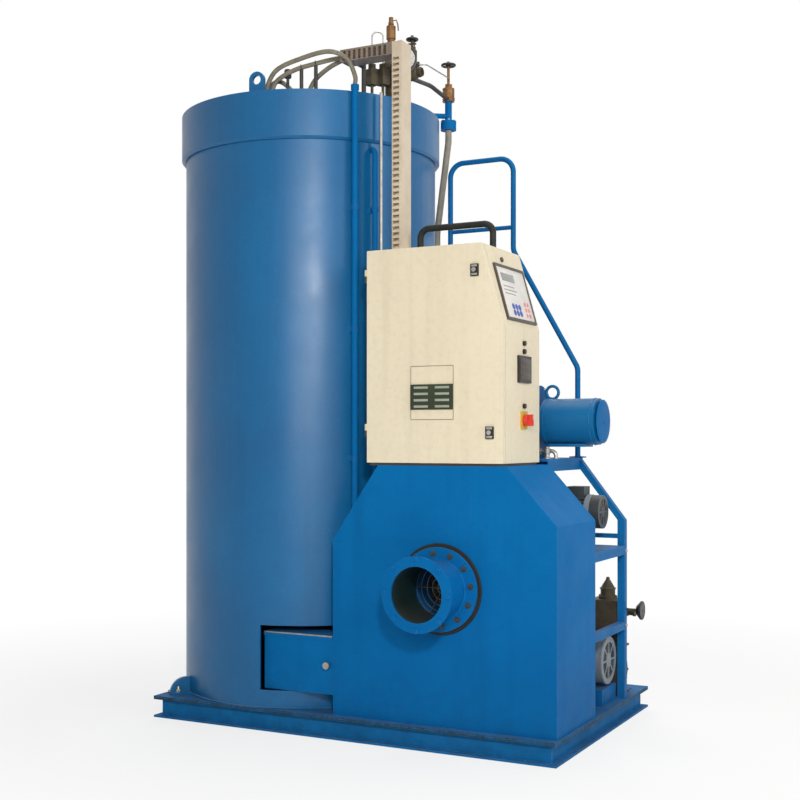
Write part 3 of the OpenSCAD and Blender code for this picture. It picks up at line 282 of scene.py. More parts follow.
# Painted shade: a dark greyed blue that stands for the shade inside the inlet's bore
paint("bore_painted_shade", srgb(24, 62, 80), srgb(34, 46, 42), (0.45, 0.6), wear=0.3, dust=0.1)
paint("frame_paint", srgb(22, 106, 166), srgb(16, 92, 150), (0.36, 0.5), wear=0.6, dust=0.2)
paint("motor_blue", srgb(20, 104, 156), srgb(15, 90, 140), (0.34, 0.47), dust=0.2, specular=0.15)
paint("motor_grey", srgb(132, 142, 150), srgb(112, 122, 130), (0.35, 0.5), dust=0.25, specular=0.4)
paint("motor_dark", srgb(58, 64, 66), srgb(44, 50, 52), (0.35, 0.5), dust=0.25, specular=0.4)
paint("cabinet_paint", srgb(231, 220, 194), srgb(224, 212, 185), (0.42, 0.58), wear=0.2, dust=0.08,
      wave=0.0006, peel=0.00006, specular=0.25, grime=0.2)
paint("dark_steel", srgb(60, 58, 54), srgb(46, 45, 44), (0.4, 0.6), dust=0.2, specular=0.35)
metal("galvanised", srgb(176, 174, 168), srgb(150, 149, 145), (0.35, 0.55))
plastic("trunking_plastic", srgb(212, 198, 176), srgb(200, 184, 162))
# This darker brown on the level trunking is partly dirt and partly painted shade of the pale trunking
plastic("trunking_dark", srgb(140, 126, 112), srgb(118, 106, 96))
plastic("black_plastic", srgb(26, 26, 27), srgb(36, 36, 38))
plastic("brown_plastic", srgb(74, 64, 56), srgb(60, 52, 46))
plastic("yellow_plastic", srgb(206, 178, 66), srgb(192, 160, 52))
plastic("red_plastic", srgb(214, 66, 48), srgb(196, 50, 38))
rubber("black_rubber", srgb(26, 27, 24), srgb(36, 37, 33))
rubber("grey_rubber", srgb(158, 152, 140), srgb(136, 130, 118))
rubber("conduit_grey", srgb(134, 128, 112), srgb(110, 105, 92))
cast("valve_iron", srgb(88, 80, 62), srgb(64, 58, 46))
metal("brass", srgb(138, 104, 70), srgb(108, 78, 50), (0.35, 0.55), dull=0.6)
metal("zinc", srgb(170, 168, 160), srgb(142, 140, 132), (0.3, 0.45), dull=0.45)
plastic("pale_panel", srgb(226, 222, 216), srgb(214, 210, 204), dust=0.04)
plastic("screen", srgb(150, 152, 146), srgb(132, 136, 132), (0.12, 0.22), grain=0.000005, dust=0.02)
plastic("blue_key", srgb(74, 96, 176), srgb(62, 82, 158))
plastic("pink_key", srgb(214, 140, 140), srgb(200, 122, 124))
plastic("dial", srgb(232, 230, 222), srgb(222, 219, 210), dust=0.03)
glass("glass", srgb(236, 244, 244))
plastic("louvre", srgb(150, 158, 140), srgb(172, 176, 158))
plastic("vent_green", srgb(44, 54, 34), srgb(34, 42, 28))
plastic("gear_grey", srgb(196, 198, 194), srgb(180, 182, 178))
plastic("gear_dark", srgb(58, 60, 62), srgb(48, 50, 52))

for row in frame["record"]["subparts"]:
    node = NODES[row["node"]]
    node.data.materials.clear()
    node.data.materials.append(MAT[row["material_slot"]])
NODES["door_vent"].data.materials[0] = MAT["vent_green"]


# Ways to build pieces

SMOOTH_BELOW = math.radians(35)
SOFTEN_ABOVE = math.radians(40)


class Piece:
    """One dressed piece made of lathes, tubes, blocks and bolts, set on its body when done."""

    def __init__(self, name, mat, body="boiler"):
        self.name, self.mat, self.body = name, mat, body
        self.bm = bmesh.new()

    def face(self, *verts):
        """A face with three corners or more that isn't there yet."""
        if len(set(verts)) > 2 and not self.bm.faces.get(verts):
            self.bm.faces.new(verts)

    def lathe(self, profile, place, axis=UP, steps=28):
        """Revolves (radius, height) points about an axis through place."""
        turn = Vector(UP).rotation_difference(Vector(axis)).to_matrix()
        place = Vector(place)
        angles = [math.tau * i / steps for i in range(steps)]
        rings = []
        for r, h in profile:
            if r == 0:
                rings.append([self.bm.verts.new(place + turn @ Vector((0, 0, h)))] * steps)
            else:
                rings.append([self.bm.verts.new(place + turn @ Vector((r * math.cos(a), r * math.sin(a), h)))
                              for a in angles])
        for a, b in zip(rings, rings[1:]):
            for i in range(steps):
                j = (i + 1) % steps
                self.face(*dict.fromkeys((a[i], a[j], b[j], b[i])))

    def ring(self, radius, wire, place, axis=UP, steps=48, sides=8):
        """A closed round ring of wire."""
        loop = [(radius + wire * math.cos(math.tau * i / sides), wire * math.sin(math.tau * i / sides))
                for i in range(sides + 1)]
        self.lathe(loop, place, axis, steps)

    def tube(self, points, r, sides=10):
        """A round bar along points, with closed ends."""
        pts = [Vector(p) for p in points]
        dirs = [(b - a).normalized() for a, b in zip(pts, pts[1:])]
        tangents = [dirs[0]] + [(a + b).normalized() for a, b in zip(dirs, dirs[1:])] + [dirs[-1]]
        side = tangents[0].orthogonal().normalized()
        rings = []
        for p, t in zip(pts, tangents):
            side = (side - t * side.dot(t)).normalized()
            other = t.cross(side)
            rings.append([self.bm.verts.new(p + r * (math.cos(a) * side + math.sin(a) * other))
                          for a in (math.tau * k / sides for k in range(sides))])
        for a, b in zip(rings, rings[1:]):
            for k in range(sides):
                self.face(a[k], a[(k + 1) % sides], b[(k + 1) % sides], b[k])
        self.face(*reversed(rings[0]))
        self.face(*rings[-1])

    def block(self, lo, hi, bevel=0.0, at=None):
        """A box with softened edges, placed by a matrix if one is given."""
        corners = [Vector((x, y, z)) for z in (lo[2], hi[2]) for y in (lo[1], hi[1]) for x in (lo[0], hi[0])]
        v = [self.bm.verts.new(at @ c if at else c) for c in corners]
        quads = ((0, 2, 3, 1), (4, 5, 7, 6), (0, 1, 5, 4), (2, 6, 7, 3), (0, 4, 6, 2), (1, 3, 7, 5))
        faces = [self.bm.faces.new([v[i] for i in q]) for q in quads]
        if bevel:
            rims = list(dict.fromkeys(e for f in faces for e in f.edges))
            bmesh.ops.bevel(self.bm, geom=rims, offset=bevel, segments=2, profile=0.6, affect="EDGES")

    def bolt(self, place, axis, r=0.008, h=0.006, washer=1.35):
        """Hex head with a chamfered top on a washer."""
        wide = washer * r
        self.lathe([(0, 0), (wide, 0), (wide, 0.25 * h), (0, 0.25 * h)], place, axis, 20)
        self.lathe([(0, 0.2 * h), (r, 0.2 * h), (r, 0.95 * h), (0.86 * r, 1.2 * h), (0, 1.2 * h)],
                   place, axis, 6)

    def done(self):
        """Makes the object and gives it its material and body."""
        bmesh.ops.recalc_face_normals(self.bm, faces=self.bm.faces)
        mesh = bpy.data.meshes.new(self.name)
        self.bm.to_mesh(mesh)
        self.bm.free()
        mesh.materials.append(MAT[self.mat])
        mesh.polygons.foreach_set("use_smooth", [True] * len(mesh.polygons))
        mesh.set_sharp_from_angle(angle=SMOOTH_BELOW)
        obj = bpy.data.objects.new(self.name, mesh)
        bpy.context.collection.objects.link(obj)
        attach(obj, self.body)
        return obj


def circle(count, radius, start=0.0):
    """Points spaced evenly round a circle."""
    return [(radius * math.cos(start + math.tau * i / count), radius * math.sin(start + math.tau * i / count))
            for i in range(count)]


def flowing(points, steps=7):
    """A smooth curve through points."""
    pts = [Vector(p) for p in points]
    pts = [2 * pts[0] - pts[1]] + pts + [2 * pts[-1] - pts[-2]]
    path = []
    for a, b, c, d in zip(pts, pts[1:], pts[2:], pts[3:]):
        for i in range(steps):
            t = i / steps
            path.append(0.5 * (2 * b + (c - a) * t + (2 * a - 5 * b + 4 * c - d) * t * t
                               + (3 * b - a - 3 * c + d) * t ** 3))
    return path + [pts[-2]]


def soften(width, segments, names):
    """Rounds the sharp edges of CAD nodes by a modifier."""
    for name in names:
        m = NODES[name].modifiers.new("edge", "BEVEL")
        m.width = width
        m.segments = segments
        m.limit_method = "ANGLE"
        m.angle_limit = SOFTEN_ABOVE


# Places taken from the CAD nodes

shell_lo, shell_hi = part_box("casing_shell")
AXIS = Vector(((shell_lo.x + shell_hi.x) / 2, (shell_lo.y + shell_hi.y) / 2))
CASING_R = (shell_hi.y - shell_lo.y) / 2
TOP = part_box("casing_top")[1].z
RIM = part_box("casing_hood")[1].z
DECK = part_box("deck_plate")[1].z
spool_lo, spool_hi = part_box("inlet_spool")
house_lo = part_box("burner_housing")[0]
cab_lo, cab_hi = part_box("cabinet_body")
post_lo, post_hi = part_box("frame_posts")
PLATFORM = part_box("platform")[1].z


def on_ring(r, turn, z):
    """A point at a radius and an angle in degrees round the casing's axis."""
    a = math.radians(turn)
    return Vector((AXIS.x + r * math.cos(a), AXIS.y + r * math.sin(a), z))


# Air inlet: bolts, seal and shade ring, painted-shade lining, welds, guard and the fan behind it

FRONT_PITCH_R, BACK_PITCH_R = 0.125, 0.131
WELD_R, WELD_WIRE = 0.109, 0.0035
FAN_DEPTH, FAN_BLADES, BLADE_TILT = 0.149, 10, 0.5
GUARD_DEPTH, GUARD_R = 0.03, 0.1065
inlet_x = (spool_lo.x + spool_hi.x) / 2
inlet_z = (spool_lo.z + spool_hi.z) / 2
inlet_at = (inlet_x, house_lo.y, inlet_z)

front_bolts = Piece("inlet_front_bolts", "housing_paint")
for x, z in circle(8, FRONT_PITCH_R):
    front_bolts.bolt((inlet_x + x, spool_lo.y, inlet_z + z), FRONT, 0.0078, 0.006)
front_bolts.done()
# These bolts are dark: partly their own finish, partly painted shade for the shadows they cast
back_bolts = Piece("inlet_back_bolts", "motor_dark")
for x, z in circle(12, BACK_PITCH_R, 0.13):
    back_bolts.bolt((inlet_x + x, spool_hi.y - 0.022, inlet_z + z), FRONT, 0.0085, 0.008)
back_bolts.done()

# The black ring is the flange's rubber seal, widened so its outer part is painted shade round the back flange
seal_and_shade = Piece("inlet_seal_and_shade", "black_rubber")
seal_and_shade.lathe([(0.1403, 0), (0.1635, 0), (0.166, 0.0025), (0.166, 0.0063), (0.1635, 0.0088), (0.1403, 0.0088),
            (0.1403, 0)], inlet_at, FRONT, 64)
seal_and_shade.done()

# A dark lining in the bore paints the shade inside the inlet tube
shade_liner = Piece("inlet_shade_liner", "bore_painted_shade")
shade_liner.lathe([(0.0989, 0), (0.0976, 0), (0.0972, 0.002), (0.0972, 0.186), (0.0976, 0.1885), (0.0989, 0.1885),
             (0.0989, 0)], inlet_at, FRONT, 64)
shade_liner.done()

welds = Piece("inlet_welds", "housing_paint")
for y in (spool_lo.y + 0.0135, spool_hi.y - 0.0225):
    welds.ring(WELD_R, WELD_WIRE, (inlet_x, y, inlet_z), FRONT)
welds.done()

eye = Piece("inlet_fan_eye", "dark_steel")
eye_at = (inlet_x, house_lo.y + FAN_DEPTH, inlet_z)
eye.lathe([(0, 0.012), (0.03, 0.012), (0.034, 0.004), (0.104, 0.002), (0.1065, 0.012), (0.1065, 0), (0, 0)],
          eye_at, FRONT, 40)
eye.lathe([(0, 0.05), (0.014, 0.047), (0.024, 0.036), (0.028, 0.01), (0, 0.01)], eye_at, FRONT)
for i in range(FAN_BLADES):
    at = Matrix.Translation(eye_at) @ Matrix.Rotation(math.tau * i / FAN_BLADES, 4, "Y")
    at = at @ Matrix.Rotation(BLADE_TILT, 4, "X")
    eye.block((0.026, -0.03, -0.001), (0.098, 0.0, 0.001), 0.0004, at)
eye.done()

guard = Piece("inlet_guard", "zinc")
guard_y = house_lo.y + GUARD_DEPTH
for r in (0.022, 0.044, 0.066, 0.088, GUARD_R):
    guard.ring(r, 0.0018, (inlet_x, guard_y, inlet_z), FRONT, 40, 6)
spoke_y = guard_y - 0.002
for x, z in circle(6, GUARD_R):
    guard.tube([(inlet_x, spoke_y, inlet_z), (inlet_x + x, spoke_y, inlet_z + z)], 0.002, 6)
guard.done()


# Air duct: pale knob and the folded lip along its top

duct_lo, duct_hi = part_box("air_duct")
duct_knob = Piece("duct_knob", "zinc")
duct_knob.lathe([(0, 0), (0.0135, 0), (0.0145, -0.002), (0.0145, -0.0095), (0.0118, -0.0105),
                 (0.0112, -0.0105), (0.0112, -0.0004), (0, -0.0004)],
                (house_lo.x - 0.022, duct_lo.y - 0.0005, (duct_lo.z + duct_hi.z) / 2), FRONT, 28)
duct_knob.done()
duct_lip = Piece("duct_lip", "zinc")
lip_y, lip_z = duct_lo.y + 0.014, duct_hi.z - 0.002
duct_lip.tube([(duct_lo.x + 0.003, lip_y, lip_z), (house_lo.x - 0.001, lip_y, lip_z)], 0.0032, 10)
duct_lip.done()


# Casing: base weld, sheet seam, lug welds and foot nuts

SEAM_TURN, LUG_TURNS, FOOT_TURNS = 148, (-82.7, 97.3), (60, 120, 230)
LUG_FACES, LUG_HALF_TURN = (0.5107, 0.5277), 3.4
FOOT_REACH, FOOT_STEP = 0.052, 0.023
BEAD = 0.0035

weld = Piece("casing_welds", "casing_paint")
# The base weld stops where the casing reaches past the skid's left end
skid_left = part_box("deck_plate")[0].x
arc = [on_ring(CASING_R + 0.001, t, DECK + 0.003) for t in range(-180, 181, 3)]
arc = [p for p in arc[40:] + arc[1:41] if p.x > skid_left + 0.012]
for a, b in zip(arc, arc[1:]):
    if (a - b).length < 0.05:
        weld.tube([a, b], BEAD, 6)
seam_r = CASING_R + 0.0005
weld.tube([on_ring(seam_r, SEAM_TURN, DECK + 0.004), on_ring(seam_r, SEAM_TURN, RIM - 0.19)], 0.0028, 8)
for turn in LUG_TURNS:
    for r in LUG_FACES:
        weld.tube([on_ring(r, turn + d, TOP + 0.002) for d in (-LUG_HALF_TURN, LUG_HALF_TURN)], BEAD, 8)
weld.done()

foot_nuts = Piece("foot_nuts", "zinc")
for turn in FOOT_TURNS:
    for side in (-1, 1):
        p = on_ring(CASING_R + FOOT_REACH, turn, DECK + 0.010)
        t = math.radians(turn + 90)
        p += Vector((math.cos(t), math.sin(t), 0)) * FOOT_STEP * side
        foot_nuts.bolt(p, UP, 0.0095, 0.009)
        foot_nuts.lathe([(0.0055, 0), (0.0055, 0.02), (0.0045, 0.022), (0, 0.022)], p, steps=12)
foot_nuts.done()


# Cabinet: gasket, latch caps, louvres, display, instruments and the gear behind the door

SLOPE_W, SLOPE_H = 0.082, 0.291
slope_turn = math.atan2(SLOPE_W, SLOPE_H)


def cabinet_loop(inset, y):
    """The corners of the cabinet's front, moved inwards."""
    x0, x1, z0, z1 = cab_lo.x, cab_hi.x, cab_lo.z, cab_hi.z
    side = inset / math.cos(slope_turn) - inset * math.tan(slope_turn)
    bend = inset * math.tan(slope_turn / 2)
    return [Vector(p) for p in (
        (x0 + inset, y, z0 + inset), (x1 - inset, y, z0 + inset), (x1 - inset, y, z1 - SLOPE_H - bend),
        (x1 - SLOPE_W - side, y, z1 - inset), (x0 + inset, y, z1 - inset))]


gasket = Piece("door_gasket", "black_rubber")
loop = cabinet_loop(0.009, cab_lo.y - 0.0021)
for a, b in zip(loop, loop[1:] + loop[:1]):
    gasket.tube([a, b], 0.002, 8)
gasket.done()

latch_lo, latch_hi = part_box("door_latches")
caps = Piece("latch_caps", "zinc", "door")
for x, z in ((latch_lo.x + 0.015, latch_hi.z - 0.022), (latch_hi.x - 0.015, latch_lo.z + 0.022)):
    caps.lathe([(0.0085, 0), (0.0085, 0.001), (0.0075, 0.0018), (0.0028, 0.0018), (0.0028, 0.0004),
                (0, 0.0004)], (x, latch_lo.y, z), FRONT, 24)
    for below, above in ((-0.019, -0.0115), (0.0115, 0.019)):
        caps.block((x - 0.011, latch_lo.y + 0.0035, z + below), (x + 0.011, latch_lo.y + 0.0048, z + above),
                   0.0006)
caps.done()

LOUVRE_ROWS, LOUVRE_TILT = 4, 0.12
vent_lo, vent_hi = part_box("door_vent")
louvres = Piece("vent_louvres", "louvre", "door")
vent_x = (vent_lo.x + vent_hi.x) / 2
row_h = (vent_hi.z - vent_lo.z) / LOUVRE_ROWS
for side in (-1, 1):
    for row in range(LOUVRE_ROWS):
        x = vent_x + side * (vent_hi.x - vent_lo.x) / 4
        z = vent_lo.z + (row + 0.5) * row_h
        at = Matrix.Translation((x, vent_lo.y + 0.0014, z)) @ Matrix.Rotation(LOUVRE_TILT, 4, "X")
        louvres.block((-0.0285, -0.001, -0.0042), (0.0285, 0.0008, 0.0042), 0.0005, at)
louvres.done()

rim = Piece("vent_plate_rim", "trunking_dark", "door")
plate_lo, plate_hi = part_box("vent_plate")
corners = [Vector((x, plate_lo.y + 0.0006, z)) for x, z in (
    (plate_lo.x, plate_lo.z), (plate_hi.x, plate_lo.z), (plate_hi.x, plate_hi.z), (plate_lo.x, plate_hi.z))]
for a, b in zip(corners, corners[1:] + corners[:1]):
    rim.tube([a, b], 0.0014, 6)
rim.done()

# The display lies on the slope: x goes back along the cabinet, y up the slope and z out of it
QUARTER = math.pi / 2
slope_at = (Matrix.Translation((cab_hi.x, cab_lo.y, cab_hi.z - SLOPE_H)) @ Matrix.Rotation(QUARTER, 4, "Z")
            @ Matrix.Rotation(QUARTER - slope_turn, 4, "X"))
PANEL_X, PANEL_Y, PANEL_W, PANEL_L = 0.037, 0.0282, 0.26, 0.194
PANEL_BACK, PANEL_FACE = 0.004, 0.0056


def button(piece, x, y, profile):
    """A round button on the display's face."""
    piece.lathe(profile, slope_at @ Vector((x, y, 0.0055)), slope_at.to_3x3() @ Vector(UP), 20)


panel = Piece("display_face", "pale_panel")
panel.block((PANEL_X, PANEL_Y, PANEL_BACK), (PANEL_X + PANEL_W, PANEL_Y + PANEL_L, PANEL_FACE),
            0.0006, slope_at)
panel.done()
window = Piece("display_window", "screen")
window.block((PANEL_X + 0.03, PANEL_Y + 0.142, 0.0054), (PANEL_X + 0.15, PANEL_Y + 0.172, 0.0068),
             0.0008, slope_at)
for i in range(3):
    y = PANEL_Y + 0.12 - 0.014 * i
    window.block((PANEL_X + 0.03, y, 0.0054), (PANEL_X + 0.13 + 0.02 * (i % 2), y + 0.004, 0.0062),
                 0.0004, slope_at)
window.done()
keys = Piece("display_keys", "blue_key")
for i in range(3):
    for j in range(2):
        button(keys, PANEL_X + 0.075 + 0.03 * i, PANEL_Y + 0.022 + 0.024 * j,
               [(0.0115, 0), (0.0115, 0.0016), (0.0095, 0.0024), (0, 0.0024)])
keys.done()
pink = Piece("display_lamps", "pink_key")
for i in range(2):
    for j in range(3):
        button(pink, PANEL_X + 0.195 + 0.028 * i, PANEL_Y + 0.02 + 0.022 * j,
               [(0.008, 0), (0.008, 0.0016), (0.006, 0.0028), (0, 0.0034)])
pink.done()

inst_lo, inst_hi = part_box("side_instruments")
inst = Piece("instrument_face", "brown_plastic")
ix = cab_hi.x + 0.009
iy = (inst_lo.y + inst_hi.y) / 2
iz = cab_lo.z + 0.293
inst.block((ix, iy - 0.052, iz + 0.01), (ix + 0.0015, iy + 0.052, iz + 0.088), 0.0005)
for k in range(3):
    z = iz + 0.022 + 0.022 * k
    inst.block((ix + 0.001, iy - 0.04, z), (ix + 0.0026, iy + 0.04, z + 0.012), 0.0005)
for z in (inst_lo.z + 0.009, inst_hi.z - 0.009, inst_hi.z - 0.039):
    inst.lathe([(0.0085, 0), (0.0085, 0.0006), (0.0065, 0.0016), (0, 0.0018)],
               (cab_hi.x + 0.0098, iy, z), RIGHT)
inst.done()

switch_lo, switch_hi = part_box("switch_handle")
mark = Piece("switch_mark", "pale_panel", "switch")
mark_y = (switch_lo.y + switch_hi.y) / 2
mark_z = (switch_lo.z + switch_hi.z) / 2
mark.block((switch_hi.x - 0.0004, mark_y - 0.0016, mark_z + 0.002),
           (switch_hi.x + 0.0003, mark_y + 0.0016, switch_hi.z - 0.002), 0.0001)
mark.done()

CONTACTOR_Z, BREAKER_Z, TERMINAL_Z = 1.66, 1.44, 1.22
DUCT_ROWS = (1.75, 1.55, 1.33, 1.12)
DUCT_SLOTS, CONTACTORS, BREAKERS, TERMINALS = 26, 5, 12, 26
mount_lo, mount_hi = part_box("mounting_plate")
gear_y = mount_lo.y
gear_x0, gear_x1 = mount_lo.x + 0.02, mount_hi.x - 0.02
rails = Piece("cabinet_rails", "zinc")
ducts = Piece("cabinet_ducts", "gear_grey")
dark = Piece("cabinet_contactors", "gear_dark")
pale = Piece("cabinet_breakers", "gear_grey")
for z in (CONTACTOR_Z, BREAKER_Z, TERMINAL_Z):
    rails.block((gear_x0 + 0.03, gear_y - 0.0075, z - 0.0175), (gear_x1 - 0.03, gear_y, z + 0.0175), 0.001)
    rails.block((gear_x0 + 0.03, gear_y - 0.009, z - 0.012), (gear_x1 - 0.03, gear_y - 0.006, z + 0.012),
                0.0005)
for z in DUCT_ROWS:
    ducts.block((gear_x0, gear_y - 0.05, z - 0.018), (gear_x1, gear_y, z + 0.018), 0.0012)
    for i in range(DUCT_SLOTS):
        x = gear_x0 + 0.008 + i * (gear_x1 - gear_x0 - 0.016) / DUCT_SLOTS
        ducts.block((x, gear_y - 0.044, z - 0.0205), (x + 0.006, gear_y - 0.004, z + 0.0205), 0.0004)
for i in range(CONTACTORS):
    x = gear_x0 + 0.035 + i * 0.054
    dark.block((x, gear_y - 0.085, CONTACTOR_Z - 0.035),
               (x + 0.048, gear_y - 0.008, CONTACTOR_Z + 0.035), 0.002)
    dark.block((x + 0.006, gear_y - 0.098, CONTACTOR_Z - 0.02),
               (x + 0.042, gear_y - 0.084, CONTACTOR_Z + 0.02), 0.002)
    for k in range(3):
        dark.lathe([(0.005, 0), (0.005, 0.002), (0.0035, 0.002), (0.0035, 0), (0, 0)],
                   (x + 0.011 + 0.013 * k, gear_y - 0.085, CONTACTOR_Z + 0.029), FRONT, 12)
for i in range(BREAKERS):
    x = gear_x0 + 0.04 + i * 0.0185
    pale.block((x, gear_y - 0.066, BREAKER_Z - 0.042), (x + 0.0175, gear_y - 0.008, BREAKER_Z + 0.042), 0.001)
    pale.block((x + 0.003, gear_y - 0.074, BREAKER_Z - 0.016),
               (x + 0.0145, gear_y - 0.065, BREAKER_Z + 0.016), 0.001)
    dark.block((x + 0.005, gear_y - 0.083, BREAKER_Z - 0.002),
               (x + 0.0125, gear_y - 0.073, BREAKER_Z + 0.01), 0.0008)
for i in range(TERMINALS):
    x = gear_x0 + 0.036 + i * 0.0105
    pale.block((x, gear_y - 0.045, TERMINAL_Z - 0.024),
               (x + 0.0095, gear_y - 0.008, TERMINAL_Z + 0.024), 0.0006)
    dark.lathe([(0.003, 0), (0.003, 0.001), (0, 0.001)], (x + 0.0047, gear_y - 0.045, TERMINAL_Z + 0.016),
               FRONT, 10)
for gear in (rails, ducts, dark, pale):
    gear.done()


# Conduit pipes from the trunking and the riser down to the top plate, with their props

CONDUIT_R = 0.009
# How far inside the casing's face each conduit meets the top plate, and at what angle
CONDUIT_FEET = ((0.068, -78.1), (0.095, -60.5), (0.042, -80), (0.1, -86), (0.12, -68))
PROPS_X, PROP_RING = (-0.175, -0.23), (-0.94, -0.33, -0.2)
riser_lo, riser_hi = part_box("front_riser")
riser_at = Vector(((riser_lo.x + riser_hi.x) / 2, (riser_lo.y + riser_hi.y) / 2, 0))
level_lo, level_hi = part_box("level_trunking")


def lifted(p, z):
    """The point over p at a height."""
    return Vector((p.x, p.y, z))


level_w = level_hi.y - level_lo.y
level_z = (level_lo.z + level_hi.z) / 2
ends = [on_ring(CASING_R - inside, turn, TOP) for inside, turn in CONDUIT_FEET]
starts = [Vector((level_lo.x, level_lo.y + k * level_w / 3, level_z)) for k in (1, 2)]
routes = [
    [starts[0], (-0.1, -0.412, 2.602), (-0.16, -0.43, 2.591), (-0.25, -0.462, 2.567), (-0.318, -0.481, 2.53),
     lifted(ends[0], TOP + 0.05), ends[0]],
    [starts[1], (-0.09, -0.386, 2.598), (-0.14, -0.395, 2.575), (-0.192, -0.405, 2.534),
     lifted(ends[1], TOP + 0.04), ends[1]],
    [lifted(riser_at, riser_hi.z), lifted(riser_at, riser_hi.z + 0.035), (riser_at.x - 0.015, -0.442, 2.585),
     (-0.075, -0.5, 2.604), (-0.19, -0.512, 2.59), (-0.3, -0.517, 2.558),
     lifted(ends[2], TOP + 0.05), ends[2]],
    [ends[3], lifted(ends[3], TOP + 0.045), ends[3].lerp(ends[4], 0.5) + Vector((0, 0, 0.1)),
     lifted(ends[4], TOP + 0.045), ends[4]]]
conduits = Piece("conduit_pipes", "conduit_grey")
conduit_nuts = Piece("conduit_nuts", "zinc")
for route in routes:
    conduits.tube(flowing(route), CONDUIT_R, 14)
for foot in ends:
    conduit_nuts.lathe([(CONDUIT_R, 0), (0.015, 0), (0.015, 0.008), (0.0135, 0.0095), (CONDUIT_R, 0.0095)],
                       foot, steps=6)
    conduit_nuts.lathe([(CONDUIT_R, 0.009), (0.0125, 0.009), (0.0125, 0.02), (0.0108, 0.023),
                        (CONDUIT_R, 0.023)], foot)
for start in starts:
    conduit_nuts.lathe([(CONDUIT_R, 0), (0.0145, 0), (0.0145, 0.007), (0.013, 0.0085), (CONDUIT_R, 0.0085)],
                       start, LEFT, 6)
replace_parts(conduits.done(), "conduit_bundle")
conduit_nuts.done()

sensor = Piece("top_sensor", "gear_dark")
sensor.lathe([(0, 0), (0.013, 0), (0.013, 0.012), (0.006, 0.014), (0.006, 0.1), (0.012, 0.102),
              (0.0145, 0.106), (0.0145, 0.13), (0.012, 0.136), (0, 0.137)],
             on_ring(CASING_R - 0.088, -71, TOP), steps=24)
sensor.done()

props = Piece("trunking_props", "dark_steel")
line = flowing(routes[0])
for x in PROPS_X:
    at = min(line, key=lambda p: abs(p.x - x))
    top = at.z - TOP - 0.0085
    props.lathe([(0, 0), (0.017, 0), (0.017, 0.004), (0.0078, 0.006), (0.0075, top), (0, top)],
                lifted(at, TOP), steps=20)
    props.ring(CONDUIT_R + 0.0012, 0.0022, at, PROP_RING, 24, 8)
# The post stands by the trunking and carries it on a short arm
post = on_ring(CASING_R - 0.024, -34.9, TOP)
arm_z = level_lo.z
post_h = arm_z + 0.02 - TOP
props.lathe([(0, 0), (0.02, 0), (0.02, 0.004), (0.0092, 0.006), (0.009, post_h), (0, post_h)], post)
props.block((post.x - 0.009, level_hi.y, arm_z), (post.x + 0.009, post.y, arm_z + 0.02), 0.0012)
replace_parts(props.done(), "trunking_posts")


# Pipework: clamps, gauge dial, valve nuts and flange bolts

CLAMP_ROWS = (1.05, 1.55, 2.02)
# Distance from the casing's axis, angle and radius of each pipe that has clamps
CLAMPED_PIPES = ((0.5615, -41.5, 0.0135), (0.559, -32.7, 0.011))
STEAM_X, STEAM_Y = -0.00248, -0.12541
STEAM_Z, DRAIN_Z = RIM + 0.152, RIM + 0.057
GAUGE_REACH, GAUGE_BRANCH = 0.122, math.radians(36.6)
GAUGE_TURN, NEEDLE_TURN = math.radians(25), math.radians(150)
DIAL_MARKS, DIAL_START, DIAL_STEP = 25, 225, 11.25

clamps = Piece("riser_clamps", "frame_paint")
for z in CLAMP_ROWS:
    for r, turn, pipe in CLAMPED_PIPES:
        p = on_ring(r, turn, z - 0.009)
        clamps.lathe([(pipe, 0), (pipe + 0.0028, 0), (pipe + 0.0028, 0.018), (pipe, 0.018)], p, steps=24)
        inner = on_ring(CASING_R - 0.001, turn, z)
        at = Matrix.Translation(inner) @ Matrix.Rotation(math.radians(turn), 4, "Z")
        clamps.block((0, -0.007, -0.007), (r - pipe - CASING_R + 0.0005, 0.007, 0.007), 0.0012, at)
        clamps.block((0, -0.018, -0.012), (0.004, 0.018, 0.012), 0.001, at)
clamps.done()

gauge_axis = Vector((math.sin(GAUGE_TURN), -math.cos(GAUGE_TURN), 0))
gauge_at = Vector((STEAM_X + GAUGE_REACH * math.cos(GAUGE_BRANCH),
                   STEAM_Y - GAUGE_REACH * math.sin(GAUGE_BRANCH),
                   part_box("pressure_gauge")[1].z - 0.048))
dial_at = gauge_at + 0.0131 * gauge_axis
across = Vector((math.cos(GAUGE_TURN), math.sin(GAUGE_TURN), 0))


def dial_ray(a):
    """The direction at an angle on the dial."""
    return math.cos(a) * across + math.sin(a) * Vector(UP)


dial = Piece("gauge_dial", "dial")
dial.lathe([(0, 0), (0.0425, 0), (0.0425, 0.0008), (0, 0.0008)], dial_at, gauge_axis, 40)
dial.done()
marks = Piece("gauge_marks", "black_plastic")
mark_at = dial_at + 0.0009 * gauge_axis
for i in range(DIAL_MARKS):
    ray = dial_ray(math.radians(DIAL_START - DIAL_STEP * i))
    inner = 0.031 if i % 4 == 0 else 0.0345
    marks.tube([mark_at + inner * ray, mark_at + 0.0385 * ray], 0.0005, 5)
ray = dial_ray(NEEDLE_TURN)
needle_at = dial_at + 0.0016 * gauge_axis
marks.tube([needle_at - 0.009 * ray, needle_at + 0.031 * ray], 0.0009, 6)
marks.lathe([(0.004, 0), (0.004, 0.0026), (0, 0.003)], dial_at, gauge_axis, 16)
marks.done()
cover = Piece("gauge_glass", "glass")
cover.lathe([(0, 0.0034), (0.0425, 0.0034), (0.0425, 0.0039), (0, 0.0039)], dial_at, gauge_axis, 40)
cover.done()

